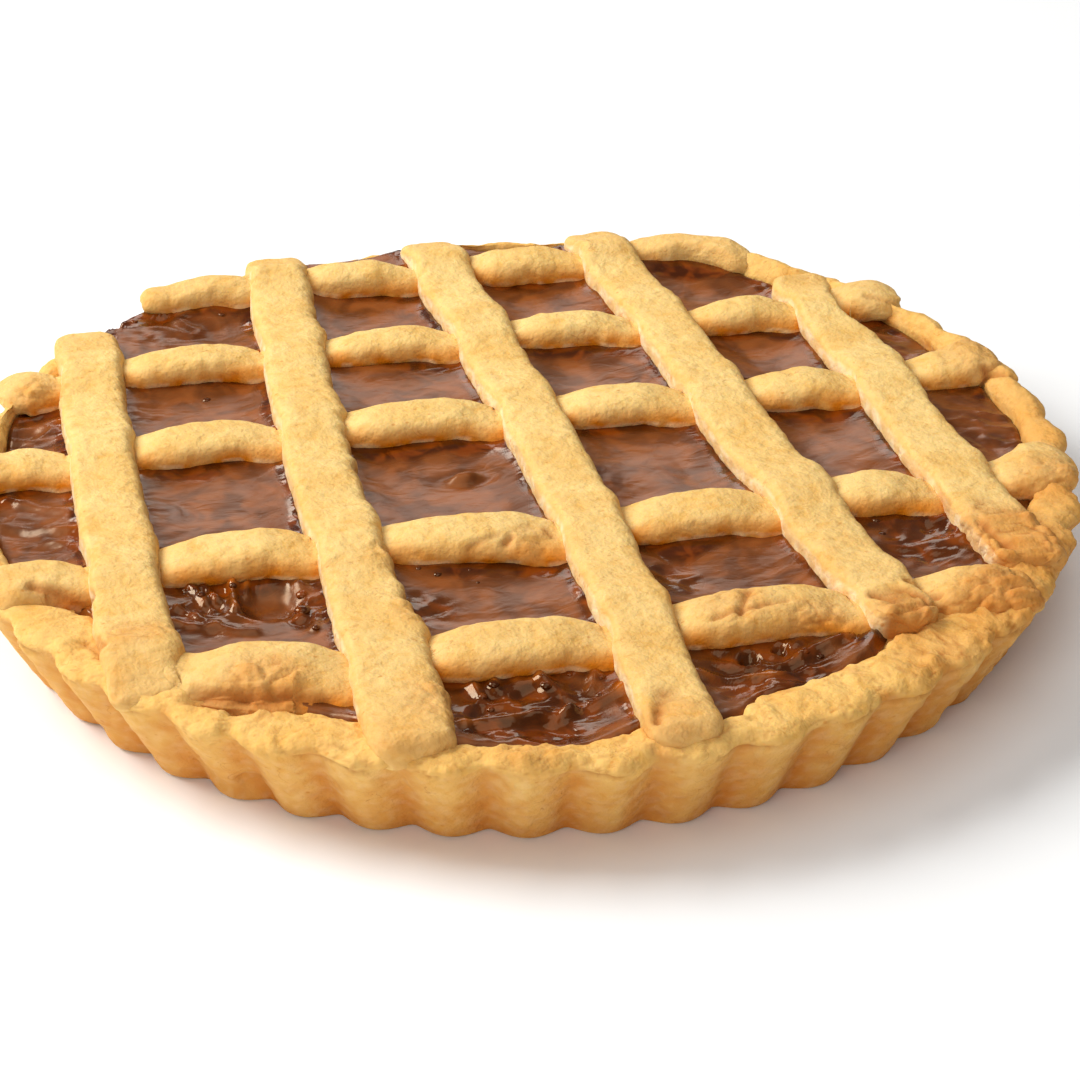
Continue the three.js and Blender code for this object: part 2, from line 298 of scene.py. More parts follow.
@dataclass
class Lattice:
    """The ten strips' plans, and how far any place lies from their edges.

    Each hump of a cross strip lies a little askew between the long strips that press it down,
    and the steepness is the share of its height that it gains right beside the left one.
    """

    long_plans: tuple[StripPlan, ...] = (
        StripPlan("long_strip_1", Way.LONG, ((-81, -91.2), (-25, -90), (30, -89.4), (86, -87.4)),
                  15.2, (1.5, 0), swells=(Swell(-60, 24, 0.0, 1.0),), ends=(1.4, 3.4)),
        StripPlan("long_strip_2", Way.LONG,
                  ((-114, -42.8), (-60, -42.3), (0, -42.6), (60, -40.4), (119, -37.4)),
                  15.4, (1.5, 0),
                  swells=(Swell(-84, 44, 1.2, 1.6),), ends=(4.6, 3.4), fray=0.7),
        StripPlan("long_strip_3", Way.LONG,
                  ((-121, 8.7), (-50, 9.5), (0, 8.7), (60, 5.9), (121, 2)), 15.3, (1.5, 0),
                  ends=(4.4, 3.4)),
        StripPlan("long_strip_4", Way.LONG,
                  ((-89, 63), (-50, 57.9), (5, 52.7), (60, 49.6), (116, 42.8)), 15.4, (0, 0),
                  swells=(Swell(-18, 56, 0.0, 0.9),), ends=(7.5, 3.4)),
        StripPlan("long_strip_5", Way.LONG, ((-71, 96), (-30, 92.7), (20, 91.3), (79, 87.6)),
                  15.6, (0.5, 0), swells=(Swell(60, 18, 0, -4.0), Swell(-2, 24, 0, -0.8))),
    )
    cross_plans: tuple[StripPlan, ...] = (
        StripPlan("cross_strip_1", Way.CROSS,
                  ((-72, 103), (-40, 105.6), (20, 105.6), (48, 103.6), (63, 103), (79, 92)),
                  11.6, (0, 0), ends=(3.4, 2.4),
                  swells=(Swell(-18, 20, -2.0, 1.6), Swell(24, 18, -1.5, 2.6),
                          Swell(71, 12, 0.0, -2.0))),
        StripPlan("cross_strip_2", Way.CROSS,
                  ((-110, 61), (-90, 64.5), (-60, 66.6), (0, 66.4), (60, 63.8), (88, 64), (109, 62)),
                  13.8, (1, 0.8), ends=(3.4, 2.6),
                  swells=(Swell(106, 18, 4.0, 0.0), Swell(-108, 14, 0.0, 3.0))),
        StripPlan("cross_strip_3", Way.CROSS,
                  ((-120, 22), (-62, 25.5), (0, 24.6), (32, 22.8), (60, 22.2), (78, 22), (96, 23),
                   (121, 26)),
                  15.6, (2, 1.5), ends=(3.4, 2.8)),
        StripPlan("cross_strip_4", Way.CROSS,
                  ((-119, -32.5), (-66, -27.2), (-16, -31.4), (30, -32), (60, -31.2), (119, -30.8)),
                  16.4, (2, 1), ends=(3.4, 2.8),
                  swells=(Swell(114, 16, 5.0, 0.0), Swell(-74, 14, 1.2, 0.0),
                          Swell(-6, 12, 0.0, 1.5))),
        StripPlan("cross_strip_5", Way.CROSS,
                  ((-88, -73.5), (-70, -74.5), (-54, -77.5), (-38, -76.8), (-10, -77.6), (30, -76.4),
                   (92, -77.4)),
                  17.0, (1.5, 1.5),
                  swells=(Swell(-64, 22, 0.0, 6.5), Swell(-16, 20, 0.0, 1.0))),
    )
    skew: Place = (2.4, -2.3)
    steepness: float = 0.82
    far_away: float = 99.0
    tables: dict[str, list[float]] = field(default_factory=dict)

    def __post_init__(self) -> None:
        """Works out the middle lines once, the cross strips' ones with their skew."""
        for plan in (*self.long_plans, *self.cross_plans):
            count = int(plan.end - plan.start) + 2
            self.tables[plan.name] = [plan.across(plan.start + i) for i in range(count)]
        for plan in self.cross_plans:
            line = self.tables[plan.name]
            self.tables[plan.name] = [y + self.askew(plan.start + i, y) for i, y in enumerate(line)]

    def askew(self, x: float, y: float) -> float:
        """Gives how far a cross strip's middle lies behind its plain line."""
        offset, half = self.nearest(Way.LONG, x, y)
        most = self.skew[0] if offset > 0 else self.skew[1]
        return most * (1 - smooth(-2, 10, abs(offset) - half)) * min(1.0, abs(offset) / half)

    def middle(self, plan: StripPlan, along: float) -> float:
        """Reads a strip's middle line from its table, a little past its ends too."""
        table = self.tables[plan.name]
        place = min(max(along - plan.start, 0.0), len(table) - 1.001)
        index = int(place)
        return lerp(table[index], table[index + 1], place - index)

    def offsets(self, way: Way, x: float, y: float, past: float = 6.0) -> list[tuple[float, float]]:
        """Lists how far a place lies to the side of each strip of one set.

        Args:
            way: The set of strips to look at.
            x: The place in plan.
            y: The place in plan.
            past: How far beyond its ends a strip still counts, in millimetres.

        Returns:
            Pairs of the distance from a strip's middle line, positive on its +X or +Y side, and
            half of its width, for the strips that reach the place.
        """
        plans = self.long_plans if way is Way.LONG else self.cross_plans
        along, across = (y, x) if way is Way.LONG else (x, y)
        return [(across - self.middle(plan, along), plan.half) for plan in plans
                if plan.start - past <= along <= plan.end + past]

    def nearest(self, way: Way, x: float, y: float) -> tuple[float, float]:
        """Gives the signed distance to the nearest strip of one set, and its half width."""
        return min(self.offsets(way, x, y, past=60.0), key=lambda pair: abs(pair[0]))

    def gaps(self, way: Way, x: float, y: float) -> tuple[float, float]:
        """Gives the free way from a place to the edges of the strips on its two sides.

        Args:
            way: The set of strips to look at.
            x: The place in plan.
            y: The place in plan.

        Returns:
            The gap on the -X or -Y side and the gap on the +X or +Y side. Both are zero under
            a strip, and a large number where there is no strip.
        """
        below, above = self.far_away, self.far_away
        for offset, half in self.offsets(way, x, y):
            if abs(offset) <= half:
                return 0.0, 0.0
            if offset > 0:
                below = min(below, offset - half)
            else:
                above = min(above, -offset - half)
        return below, above

    def arch(self, x: float, y: float) -> float:
        """Says how far a cross strip has puffed up at a place: 0 by a long strip, 1 between two."""
        left, right = self.gaps(Way.LONG, x, y)
        rising = lerp(smooth(4, 18, left), smooth(-3, 8, left), self.steepness)
        return rising * smooth(-3, 11, right)


LATTICE = Lattice()


@dataclass(frozen=True)
class Spot:
    """A round place on the tart where something is strongest: its middle, radius and strength."""

    at: Place
    radius: float
    strength: float

    def share(self, x: float, y: float) -> float:
        """Says how strongly a place in plan is touched."""
        across, along = x - self.at[0], y - self.at[1]
        if abs(across) > self.radius or abs(along) > self.radius:
            return 0.0
        return self.strength * (1 - smooth(0.4, 1.0, math.hypot(across, along) / self.radius))


@dataclass(frozen=True)
class Crease:
    """A fold or crack pressed into the dough, from one place in plan to another."""

    start: Place
    end: Place
    width: float
    depth: float

    @cached_property
    def run(self) -> Vector:
        """The way from its start to its end."""
        return Vector(self.end) - Vector(self.start)

    @cached_property
    def reach(self) -> float:
        """How far from its start the crease is still felt."""
        return self.run.length + 4 * self.width

    def share(self, place: Vector) -> float:
        """Says how deep a place lies in the crease, from 0 to 1."""
        across, ahead = place.x - self.start[0], place.y - self.start[1]
        if abs(across) > self.reach or abs(ahead) > self.reach:
            return 0.0
        out, run = Vector((across, ahead)), self.run
        along = min(1.0, max(0.0, out.dot(run) / run.length_squared))
        away = (out - run * along).length + 0.5 * self.width * grain(place, 3.0, 7.1)
        return math.exp(-((away / self.width) ** 2))


CRAGS = (
    Spot((94, -62), 19, 0.9),
    Spot((84, -86), 16, 1.0),
    Spot((66, -100), 16, 0.8),
    Spot((62, -85), 9, 1.0),
    Spot((-67, -84), 12, 0.8),
    Spot((30, -76), 10, 0.55),
    Spot((45, -84), 9, 0.7),
    Spot((111, -36), 11, 0.5),
    Spot((114, 26), 12, 0.4),
    Spot((-90, -60), 9, 0.5),
    Spot((-37, -98), 10, 0.5),
    Spot((-33, -64), 9, 0.35),
    Spot((-34, -38), 8, 0.3),
    Spot((6, -115), 8, 0.25),
    Spot((-22, -116), 9, 0.7),
    Spot((-100, 55), 9, 0.5),
    Spot((-4, -37), 7, 0.5),
)

CREASES = (
    Crease((7.1, -104.7), (3.0, -116.1), 1.3, 1.3),
    Crease((-18.4, -39.0), (-11.5, -36.6), 0.9, 0.5),
    Crease((-1.4, -34.0), (0.2, -36.6), 0.7, 0.7),
    Crease((33.5, -71.8), (29.3, -80.6), 1.0, 1.2),
    Crease((24.0, -80.5), (40.0, -78.0), 0.8, 0.8),
    Crease((85.9, -43.3), (85.4, -33.3), 0.7, 0.5),
    Crease((93.3, -40.8), (90.7, -49.6), 0.8, 0.6),
    Crease((55.0, -90.5), (71.0, -84.0), 1.0, 0.8),
    Crease((-80.5, -83.5), (-72.5, -87.5), 2.2, 2.4),
    Crease((-72.5, -87.5), (-57.0, -90.0), 2.0, 2.2),
    Crease((57.5, -79.0), (64.0, -87.0), 1.2, 1.3),
    Crease((62.0, -77.0), (69.0, -84.5), 1.1, 1.2),
    Crease((66.5, -75.5), (71.0, -80.5), 1.0, 1.0),
    Crease((115.6, 18.0), (123.5, 10.7), 1.0, 1.2),
    Crease((100.3, 59.9), (110.5, 55.5), 1.0, 0.5),
    Crease((-109.0, -36.4), (-98.7, -41.3), 1.5, 1.5),
    Crease((89.0, -54.9), (91.6, -66.6), 1.1, 1.2),
    Crease((-100.0, -57.0), (-98.5, -60.0), 1.0, 0.8),
    Crease((-98.0, -62.0), (-97.0, -64.5), 0.9, 0.8),
    Crease((-10.1, -38.9), (-8.9, -37.9), 1.2, 1.4),
)

FOLDS = (
    Spot((-106, -4), 18, 0.4),
    Spot((-102, 44), 14, 0.8),
    Spot((-74, -46), 15, 0.5),
    Spot((-55, -50), 8, 0.6),
    Spot((-66, 95), 18, 0.8),
    Spot((-18, -98), 20, 0.9),
    Spot((32, -93), 18, 0.9),
    Spot((80, -50), 15, 0.6),
    Spot((108, -4), 16, 0.6),
    Spot((103, 40), 12, 0.5),
    Spot((-79, 0), 9, 0.4),
    Spot((-31, -54), 10, 0.5),
    Spot((22, -54), 10, 0.45),
    Spot((-78, 48), 9, 0.4),
)

PITS = (
    Spot((29.1, -88.8), 2.4, 2.2),
    Spot((35.8, -87.7), 2.1, 2.0),
    Spot((-60.6, -44.5), 8.5, 2.0),
    Spot((-72.8, -44.7), 3.0, 1.2),
)

FLOWS = (
    Crease((-77.0, -34.5), (-73.0, -45.0), 0.9, 1.4),
    Crease((-74.0, -35.5), (-71.8, -41.5), 0.8, 1.2),
    Crease((-68.0, -34.5), (-68.6, -46.0), 1.0, 1.8),
    Crease((-64.8, -34.5), (-65.5, -40.0), 0.9, 1.1),
    Crease((-54.5, -40.0), (-56.0, -51.0), 1.8, 1.5),
    Crease((-52.8, -52.0), (-54.0, -58.0), 1.1, 1.1),
    Crease((-80.5, -44.0), (-73.0, -52.0), 1.0, 1.0),
    Crease((-81.5, -50.0), (-66.0, -56.0), 1.2, 1.0),
    Crease((-27.0, -87.0), (-26.0, -91.0), 1.1, 1.1),
    Crease((-22.5, -86.5), (-23.0, -89.0), 1.0, 1.0),
    Crease((-13.5, -87.0), (-13.0, -91.0), 1.2, 1.2),
    Crease((-2.5, -88.0), (-4.5, -93.0), 1.1, 1.1),
    Crease((-31.0, -102.0), (-10.0, -99.5), 1.9, 1.6),
    Crease((-10.0, -99.5), (3.0, -95.0), 1.6, 1.3),
    Crease((16.0, -93.0), (34.0, -97.0), 1.8, 1.6),
    Crease((34.0, -93.0), (52.0, -86.0), 1.3, 1.2),
    Crease((-111.0, 12.0), (-99.0, 4.0), 1.4, 0.8),
    Crease((-113.0, 2.0), (-101.0, -4.0), 1.6, 0.8),
    Crease((-110.0, -8.0), (-100.0, -9.0), 1.3, 0.7),
)


@dataclass(frozen=True)
class Relief:
    """What the dough's surface does at one place."""

    height: float
    # How deep the place lies in a crease or a crumbled low spot, which sets its painted shade.
    crack_shade: float
    crumble: float


@dataclass(frozen=True)
class Dough:
    """The relief of baked shortcrust: slow swellings, lumps, creases and crumbled places."""

    seed: float
    swell: float = 0.34
    lump: float = 0.28
    pebble: float = 0.16
    grit: float = 0.06
    crag: float = 1.0

    def crumbled(self, place: Vector) -> float:
        """Says how strongly a place is crumbled, from 0 to 1."""
        return min(1.0, sum(crag.share(place.x, place.y) for crag in CRAGS))

    def relief(self, place: Vector) -> Relief:
        """Works out the dough's relief at a place on its surface.

        Args:
            place: The place in millimetres.

        Returns:
            The height to add in millimetres, how much painted shade its creases, cracks and crumbled
            low spots get, and how crumbled it is.
        """
        crumble = self.crumbled(place)
        height = self.swell * grain(place, 14, self.seed)
        height += self.lump * grain(place, 5.2, self.seed + 1)
        height += self.pebble * grain(place, 2.7, self.seed + 2)
        height += self.grit * grain(place, 1.4, self.seed + 3)
        crack_shade = 0.0
        for crease in CREASES:
            share = crease.share(place)
            if share > 0.01:
                height -= crease.depth * share
                crack_shade = max(crack_shade, share * min(1.0, crease.depth))
        if crumble > 0.01:
            coarse = abs(grain(place, 4.6, self.seed + 1.9)) - 0.2
            fine = abs(grain(place, 2.2, self.seed + 8.2)) - 0.2
            height += self.crag * crumble * (2.0 * coarse + 1.1 * fine)
            # Painted shade in the low spots of crumbled places.
            crack_shade = max(crack_shade, 0.85 * crumble * (1 - smooth(0.0, 0.1, coarse + 0.2)))
        return Relief(height, crack_shade, crumble)


def added(name: str, data: bpy.types.ID) -> Piece:
    """Makes an object of a mesh, camera or lamp and puts it in the scene."""
    item = bpy.data.objects.new(name, data)
    bpy.context.scene.collection.objects.link(item)
    return item


def modelled(name: str, mesh: Mesh, finish: Finish) -> Piece:
    """Makes an object of a finished mesh, in the scene's own units, and frees the mesh."""
    data = bpy.data.meshes.new(name)
    mesh.to_mesh(data)
    mesh.free()
    data.materials.append(finish)
    return added(name, data)


def placed(name: str, mesh: Mesh, finish: Finish,
           node: str | None = None) -> Piece:
    """Turns a mesh in millimetres into a piece of the tart.

    Args:
        name: The piece's name.
        mesh: The finished mesh, closed, in millimetres. It is freed.
        finish: The material.
        node: The frame's node that the piece stands for, if there is one.

    Returns:
        The new object, at the origin, riding on the root body.
    """
    bmesh.ops.scale(mesh, vec=(MM, MM, MM), verts=mesh.verts)
    for face in mesh.faces:
        face.smooth = True
    piece = modelled(name, mesh, finish)
    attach(piece, "root")
    if node is not None:
        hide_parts(node)
    return piece


def marks(mesh: Mesh, *names: str) -> dict[str, bmesh.types.BMLayerItem]:
    """Gives the mesh's points a number under each name, for the finish to read."""
    return {name: mesh.verts.layers.float.new(name) for name in names}


class Nodes:
    """Adds nodes to a material and wires them, with patterns measured in millimetres."""

    def __init__(self, name: str) -> None:
        """Starts a material with a bare shader and one place socket in millimetres."""
        self.material = bpy.data.materials.new(name)
        self.material.use_nodes = True
        self.tree = self.material.node_tree
        self.shader = self.tree.nodes["Principled BSDF"]
        centre = self.added("TexCoord", {}).outputs["Object"]
        scaled = self.added("VectorMath", {0: centre, "Scale": 1 / MM}, operation="SCALE")
        self.place = scaled.outputs[0]

    def feed(self, socket: Socket, value: Value) -> None:
        """Links a socket or sets a plain value on it."""
        if isinstance(value, Socket):
            self.tree.links.new(value, socket)
        elif isinstance(value, tuple) and len(value) == 3 and socket.type == "RGBA":
            socket.default_value = (*value, 1)
        else:
            socket.default_value = value

    def dress(self, values: dict[str, Value]) -> Finish:
        """Feeds the shader's inputs by their names and gives the finished material."""
        for name, value in values.items():
            self.feed(self.shader.inputs[name], value)
        return self.material

    def added(self, kind: str, values: dict[str | int, Value], **settings: str) -> bpy.types.Node:
        """Adds one node.

        Args:
            kind: The node's kind, without the words that all shader nodes begin with.
            values: The values or sockets of its inputs, by their names or places.
            settings: The node's other settings.

        Returns:
            The node.
        """
        node = self.tree.nodes.new(f"ShaderNode{kind}")
        for name, setting in settings.items():
            setattr(node, name, setting)
        for name, value in values.items():
            self.feed(node.inputs[name], value)
        return node

    def stretched(self, scale: Triple, turn: float = 0.0) -> Socket:
        """Gives the place, stretched by a factor a side and turned about the upright axis."""
        values = {"Scale": scale, "Rotation": (0, 0, turn), "Vector": self.place}
        return self.added("Mapping", values).outputs["Vector"]

    def noise(self, size: float, detail: float = 2.0, warp: float = 0.0, rough: float = 0.5,
              place: Socket | None = None) -> Socket:
        """Adds noise.

        Args:
            size: The width of its swellings, in millimetres.
            detail: How many finer layers it has.
            warp: How much it is distorted.
            rough: How strong the finer layers are.
            place: Where it reads its place, or none for the plain one.

        Returns:
            The noise's value, about 0.5 on average.
        """
        values = {"Scale": 1 / size, "Detail": detail, "Distortion": warp, "Roughness": rough,
                  "Vector": place or self.place}
        return self.added("TexNoise", values).outputs["Fac"]

    def cells(self, size: float, place: Socket | None = None) -> Socket:
        """Adds round cells of a size in millimetres and gives the distance from their middles."""
        values = {"Scale": 1 / size, "Smoothness": 0.4, "Vector": place or self.place}
        return self.added("TexVoronoi", values, feature="SMOOTH_F1").outputs["Distance"]

    def own(self, name: str) -> Socket:
        """Reads one of the piece's own attributes."""
        return self.added("Attribute", {}, attribute_name=name).outputs["Fac"]

    def between(self, value: Socket, low: float, high: float, first: float = 0.0,
                last: float = 1.0) -> Socket:
        """Eases a value from first at low to last at high."""
        values = {"Value": value, "From Min": low, "From Max": high, "To Min": first, "To Max": last}
        return self.added("MapRange", values, interpolation_type="SMOOTHSTEP").outputs["Result"]

    def joined(self, kind: str, first: Socket | float, last: Socket | float) -> Socket:
        """Joins two values by a named operation of the Math node."""
        return self.added("Math", {0: first, 1: last}, operation=kind).outputs[0]

    def mix(self, share: Socket | float, first: Socket | Colour, last: Socket | Colour) -> Socket:
        """Mixes two colours, the first at share 0 and the last at share 1."""
        return self.added("Mix", {0: share, 6: first, 7: last}, data_type="RGBA").outputs[2]

    def bump(self, height: Socket, depth: float, under: Socket | None = None) -> Socket:
        """Adds a bump.

        Args:
            height: The height, from 0 to 1.
            depth: How deep that is, in millimetres.
            under: The normal of a coarser bump below it.

        Returns:
            The bumped normal.
        """
        values = {"Distance": depth * MM, "Height": height}
        if under is not None:
            values["Normal"] = under
        return self.added("Bump", values).outputs["Normal"]


@dataclass(frozen=True)
class DoughFinish:
    """Matte baked shortcrust with its browning, crumb and fine pits, and painted shade in its cracks,
    low spots and shaded faces.
    """

    name: str
    pale: Colour = srgb(236, 199, 126)
    golden: Colour = srgb(222, 168, 82)
    toast_and_shade_brown: Colour = srgb(200, 124, 46)
    # Dark orange painted shade for cracks, creases and low spots.
    crack_shade: Colour = srgb(166, 88, 22)
    crumb: Colour = srgb(246, 222, 178)
    # Orange of dough soaked by the caramel, also used as painted shade and caramel bounce light on
    # faces turned away from the key lamp.
    damp_and_shade: Colour = srgb(208, 120, 14)
    roughness: float = 0.75
    patch: float = 12.0
    pebble: float = 2.3
    pebble_depth: float = 0.6
    grit: float = 0.7
    grit_depth: float = 0.17
    specular: float = 0.14
    glow: float = 0.15
    glow_radius: Triple = (1.0, 0.55, 0.15)
    glow_depth: float = 2.0

    def material(self) -> Finish:
        """Builds the material from the piece's own attributes and noise."""
        nodes = Nodes(self.name)
        patches = nodes.between(nodes.noise(self.patch, 3, 0.4), 0.36, 0.66)
        pebbles = nodes.noise(self.pebble, 2, 0.0, 0.45)
        # Painted shade: the pebbles' low spots are mixed toward the golden colour, on top of the
        # dough's own uneven tone from the patches.
        hollow_shade = nodes.between(pebbles, 0.5, 0.34)
        shade = nodes.joined("ADD", nodes.joined("MULTIPLY", patches, 0.45),
                             nodes.joined("MULTIPLY", hollow_shade, 0.3))
        base = nodes.mix(shade, self.pale, self.golden)
        # The marks mix in browning that carries painted shade on the shell, soaked dough with painted
        # shade, crumb, and painted shade in cracks.
        for name, colour in (("toast_and_shade", self.toast_and_shade_brown), ("damp_and_shade", self.damp_and_shade), ("crumb", self.crumb),
                             ("crack_shade", self.crack_shade)):
            base = nodes.mix(nodes.own(name), base, colour)
        base = nodes.mix(self.pits(nodes), base, self.toast_and_shade_brown)
        base = nodes.mix(self.hairline_crack_shade(nodes), base, self.crack_shade)
        lumpy = nodes.bump(pebbles, self.pebble_depth)
        grainy = nodes.bump(nodes.noise(self.grit, 2, 0.0, 0.5), self.grit_depth, lumpy)
        return nodes.dress({
            "Base Color": base, "Roughness": self.roughness, "Specular IOR Level": self.specular,
            "Subsurface Weight": self.glow, "Subsurface Radius": self.glow_radius,
            "Subsurface Scale": self.glow_depth * MM, "Normal": grainy,
        })

    def hairline_crack_shade(self, nodes: Nodes) -> Socket:
        """Adds painted shade in short hairline cracks in scattered places.

        Args:
            nodes: The material that they are added to.

        Returns:
            How much painted shade a place gets, from 0 to 1.
        """
        slanting = nodes.stretched((1.0, 1.7, 1.0), 0.3)
        ridge = nodes.joined("SUBTRACT", nodes.noise(5.5, 2, 0.6, 0.5, slanting), 0.5)
        line = nodes.between(nodes.joined("ABSOLUTE", ridge, 0.0), 0.012, 0.0)
        where = nodes.between(nodes.noise(9.0, 1), 0.56, 0.66)
        return nodes.joined("MULTIPLY", nodes.joined("MULTIPLY", line, where), 0.4)

    def pits(self, nodes: Nodes) -> Socket:
        """Adds tiny pits in scattered places, drawn only as darker colour.

        Args:
            nodes: The material that they are added to.

        Returns:
            How deep a place lies in a pit, from 0 to 1.
        """
        pit = nodes.between(nodes.cells(3.1, nodes.stretched((1.0, 1.5, 1.0), 0.4)), 0.2, 0.08)
        where = nodes.between(nodes.noise(5.0, 2, 0.0), 0.52, 0.6)
        return nodes.joined("MULTIPLY", nodes.joined("MULTIPLY", pit, where), 0.55)


@dataclass(frozen=True)
class CaramelFinish:
    """Dulce de leche: a satin skin with wrinkles, and glossy amber where the skin has torn."""

    name: str
    skin: Colour = srgb(94, 46, 14)
    skin_light: Colour = srgb(138, 74, 28)
    amber: Colour = srgb(120, 52, 6)
    amber_deep: Colour = srgb(66, 24, 2)
    # Painted light: brighter orange where light would shine through thin caramel.
    thin: Colour = srgb(178, 96, 26)
    sheen: Colour = (1.0, 0.74, 0.45)
    skin_roughness: float = 0.33
    amber_roughness: float = 0.1
    specular: float = 0.5
    glow: float = 0.12
    glow_radius: Triple = (1.0, 0.3, 0.08)
    glow_depth: float = 1.5
    wrinkle_depth: float = 0.2

    def material(self) -> Finish:
        """Builds the material from the piece's own attributes and noise."""
        nodes = Nodes(self.name)
        bare = nodes.own("bare")
        clouds = nodes.between(nodes.noise(8, 2, 0.8), 0.3, 0.7)
        skin = nodes.mix(clouds, self.skin, self.skin_light)
        deep = nodes.between(nodes.noise(6, 2, 0.8), 0.33, 0.58)
        amber = nodes.mix(deep, self.amber, self.amber_deep)
        # Painted light: the thin mark mixes in the glow of light through thin caramel.
        base = nodes.mix(nodes.own("thin"), nodes.mix(bare, skin, amber), self.thin)
        rough = nodes.between(bare, 0.0, 1.0, self.skin_roughness, self.amber_roughness)
        streaks = nodes.stretched((0.6, 1.2, 1.0), math.radians(14))
        wrinkles = nodes.joined("MULTIPLY", nodes.noise(3.6, 2, 1.0, 0.45, streaks),
                                nodes.between(bare, 0.0, 1.0, 1.0, 0.6))
        return nodes.dress({
            "Base Color": base, "Roughness": rough, "Specular IOR Level": self.specular,
            "Specular Tint": self.sheen, "Subsurface Weight": self.glow,
            "Subsurface Radius": self.glow_radius, "Subsurface Scale": self.glow_depth * MM,
            "Normal": nodes.bump(wrinkles, self.wrinkle_depth),
        })


@dataclass
class Strip:
    """A strip of dough along its plan, puffed between the strips that cross it.

    Slim says how much its left and its right side narrow where it is pressed down, and pressed
    how thick it is at the right and at the left of the strip that presses it. The shoulders are
    the roundness of its section on the right and on the left.
    """

    plan: StripPlan
    seed: float
    spacing: float = 0.62
    ring: int = 72
    cap: float = 3.4
    tuck: float = 0.7
    sunk_floor: float = 19.0
    floor_arch: float = 2.0
    shoved: float = 1.1
    hump: float = 6.8
    slim: tuple[float, float] = (0.9, -0.6)
    pressed: tuple[float, float] = (3.2, 4.3)
    long_height: float = 6.2
    long_lift: float = 0.9
    rim_flattening: float = 0.66
    rim_raising: float = 0.6
    end_length: float = 16.0
    long_arch: float = 0.4
    top_share: float = 0.8
    long_shoulders: Place = (0.42, 0.3)
    cross_shoulders: Place = (0.6, 0.68)
    waver: float = 0.28
    fine_waver: float = 0.16
    ragged_end: float = 1.3
    crack_shade_strength: float = 0.7
    brown_shoulder: float = 0.1
    brown_knob: float = 0.14
    brown_end: float = 0.2
    brown_front: float = 0.12
    brown_crumble: float = 0.45

    def thickness(self, x: float, y: float) -> float:
        """Gives how high the strip stands over the ground it lies on.

        Args:
            x: A place on the middle line.
            y: A place on the middle line.

        Returns:
            The height in millimetres, away from the strip's ends.
        """
        if self.plan.way is Way.LONG:
            offset, half = LATTICE.nearest(Way.CROSS, x, y)
            lifted = 1 - smooth(half - 3, half + 8, abs(offset - 1.5))
            return self.long_height + self.long_lift * lifted
        offset, half = LATTICE.nearest(Way.LONG, x, y)
        beside = min(1.0, max(0.0, (offset / half + 1) / 2))
        return lerp(lerp(self.pressed[1], self.pressed[0], beside), self.hump, LATTICE.arch(x, y))

    def row(self, way: float, run: float, quarter: float) -> Row:
        """Works out the strip at one row of its grid.

        Args:
            way: The way along the grid, in millimetres.
            run: The grid's whole length.
            quarter: The length of the grid that covers one rounded end.

        Returns:
            The row.
        """
        plan = self.plan
        into = min(way, run - way)
        angle = min(1.0, into / quarter) * math.pi / 2
        inward = self.cap * (1 - math.cos(angle)) if into < quarter else self.cap + into - quarter
        along = plan.start + inward if way < run / 2 else plan.end - inward
        middle = self.place(along)
        heading = (self.place(along + 0.5) - self.place(along - 0.5)).normalized()
        side = 0 if along < (plan.start + plan.end) / 2 else 1
        radius, around = middle.length, bearing(middle)
        inner = FORM.inner_radius(around)
        climb = smooth(inner - 6, inner + 2, radius)
        drop = plan.lips[side] * smooth(FORM.rim_radius - 7, FORM.rim_radius + 1, radius)
        caramel = FORM.caramel_top(middle.x, middle.y)
        rim = FORM.rim_height + self.rim_raising * max(0.0, -FORM.dip(around))
        ground = lerp(caramel - FORM.strip_sink, max(caramel, rim) - 0.6, climb)
        ground -= drop
        to_end = min(along - plan.start, plan.end - along)
        rest = self.thickness(middle.x, middle.y) * lerp(1, self.rim_flattening, climb)
        height = lerp(plan.ends[side], rest, smooth(0, self.end_length, to_end))
        arch = LATTICE.arch(middle.x, middle.y) if plan.way is Way.CROSS else self.long_arch
        floor = self.sunk_floor + self.floor_arch * arch
        floor += 1.6 * smooth(inner + 1, inner + 5, radius)
        floor -= drop
        tip = 0.88 + 0.12 * smooth(0, 0.35 * self.end_length, to_end)
        left, right = self.sides(middle.x, middle.y, along)
        return Row(along, into, middle, heading, floor, ground + height, left * tip, right * tip,
                   math.sin(angle) ** 0.55)

    def sides(self, x: float, y: float, along: float) -> tuple[float, float]:
        """Gives how wide the strip is to the left and to the right of its middle line.

        Args:
            x: A place on the middle line.
            y: A place on the middle line.
            along: The same place's way along the strip.

        Returns:
            The width to the left, looking along the strip, and the width to the right.
        """
        left, right = self.plan.half, self.plan.half
        if self.plan.way is Way.LONG:
            offset, _ = LATTICE.nearest(Way.CROSS, x, y)
            right += self.shoved * math.exp(-((offset - 8) / 6) ** 2)
            left -= self.shoved * math.exp(-((offset / 5.5) ** 2))
        else:
            narrowed = 1 - LATTICE.arch(x, y)
            left -= self.slim[0] * narrowed
            right -= self.slim[1] * narrowed
        for swell in self.plan.swells:
            share = 1 - smooth(0.2, 1.0, abs(along - swell.at) / swell.spread)
            left += swell.left * share
            right += swell.right * share
        return left, right

    def place(self, along: float) -> Vector:
        """Gives the middle line's place in plan."""
        across = LATTICE.middle(self.plan, along)
        if along < self.plan.start or along > self.plan.end:
            near = min(max(along, self.plan.start), self.plan.end)
            across = LATTICE.middle(self.plan, near)
        return Vector((across, along) if self.plan.way is Way.LONG else (along, across))

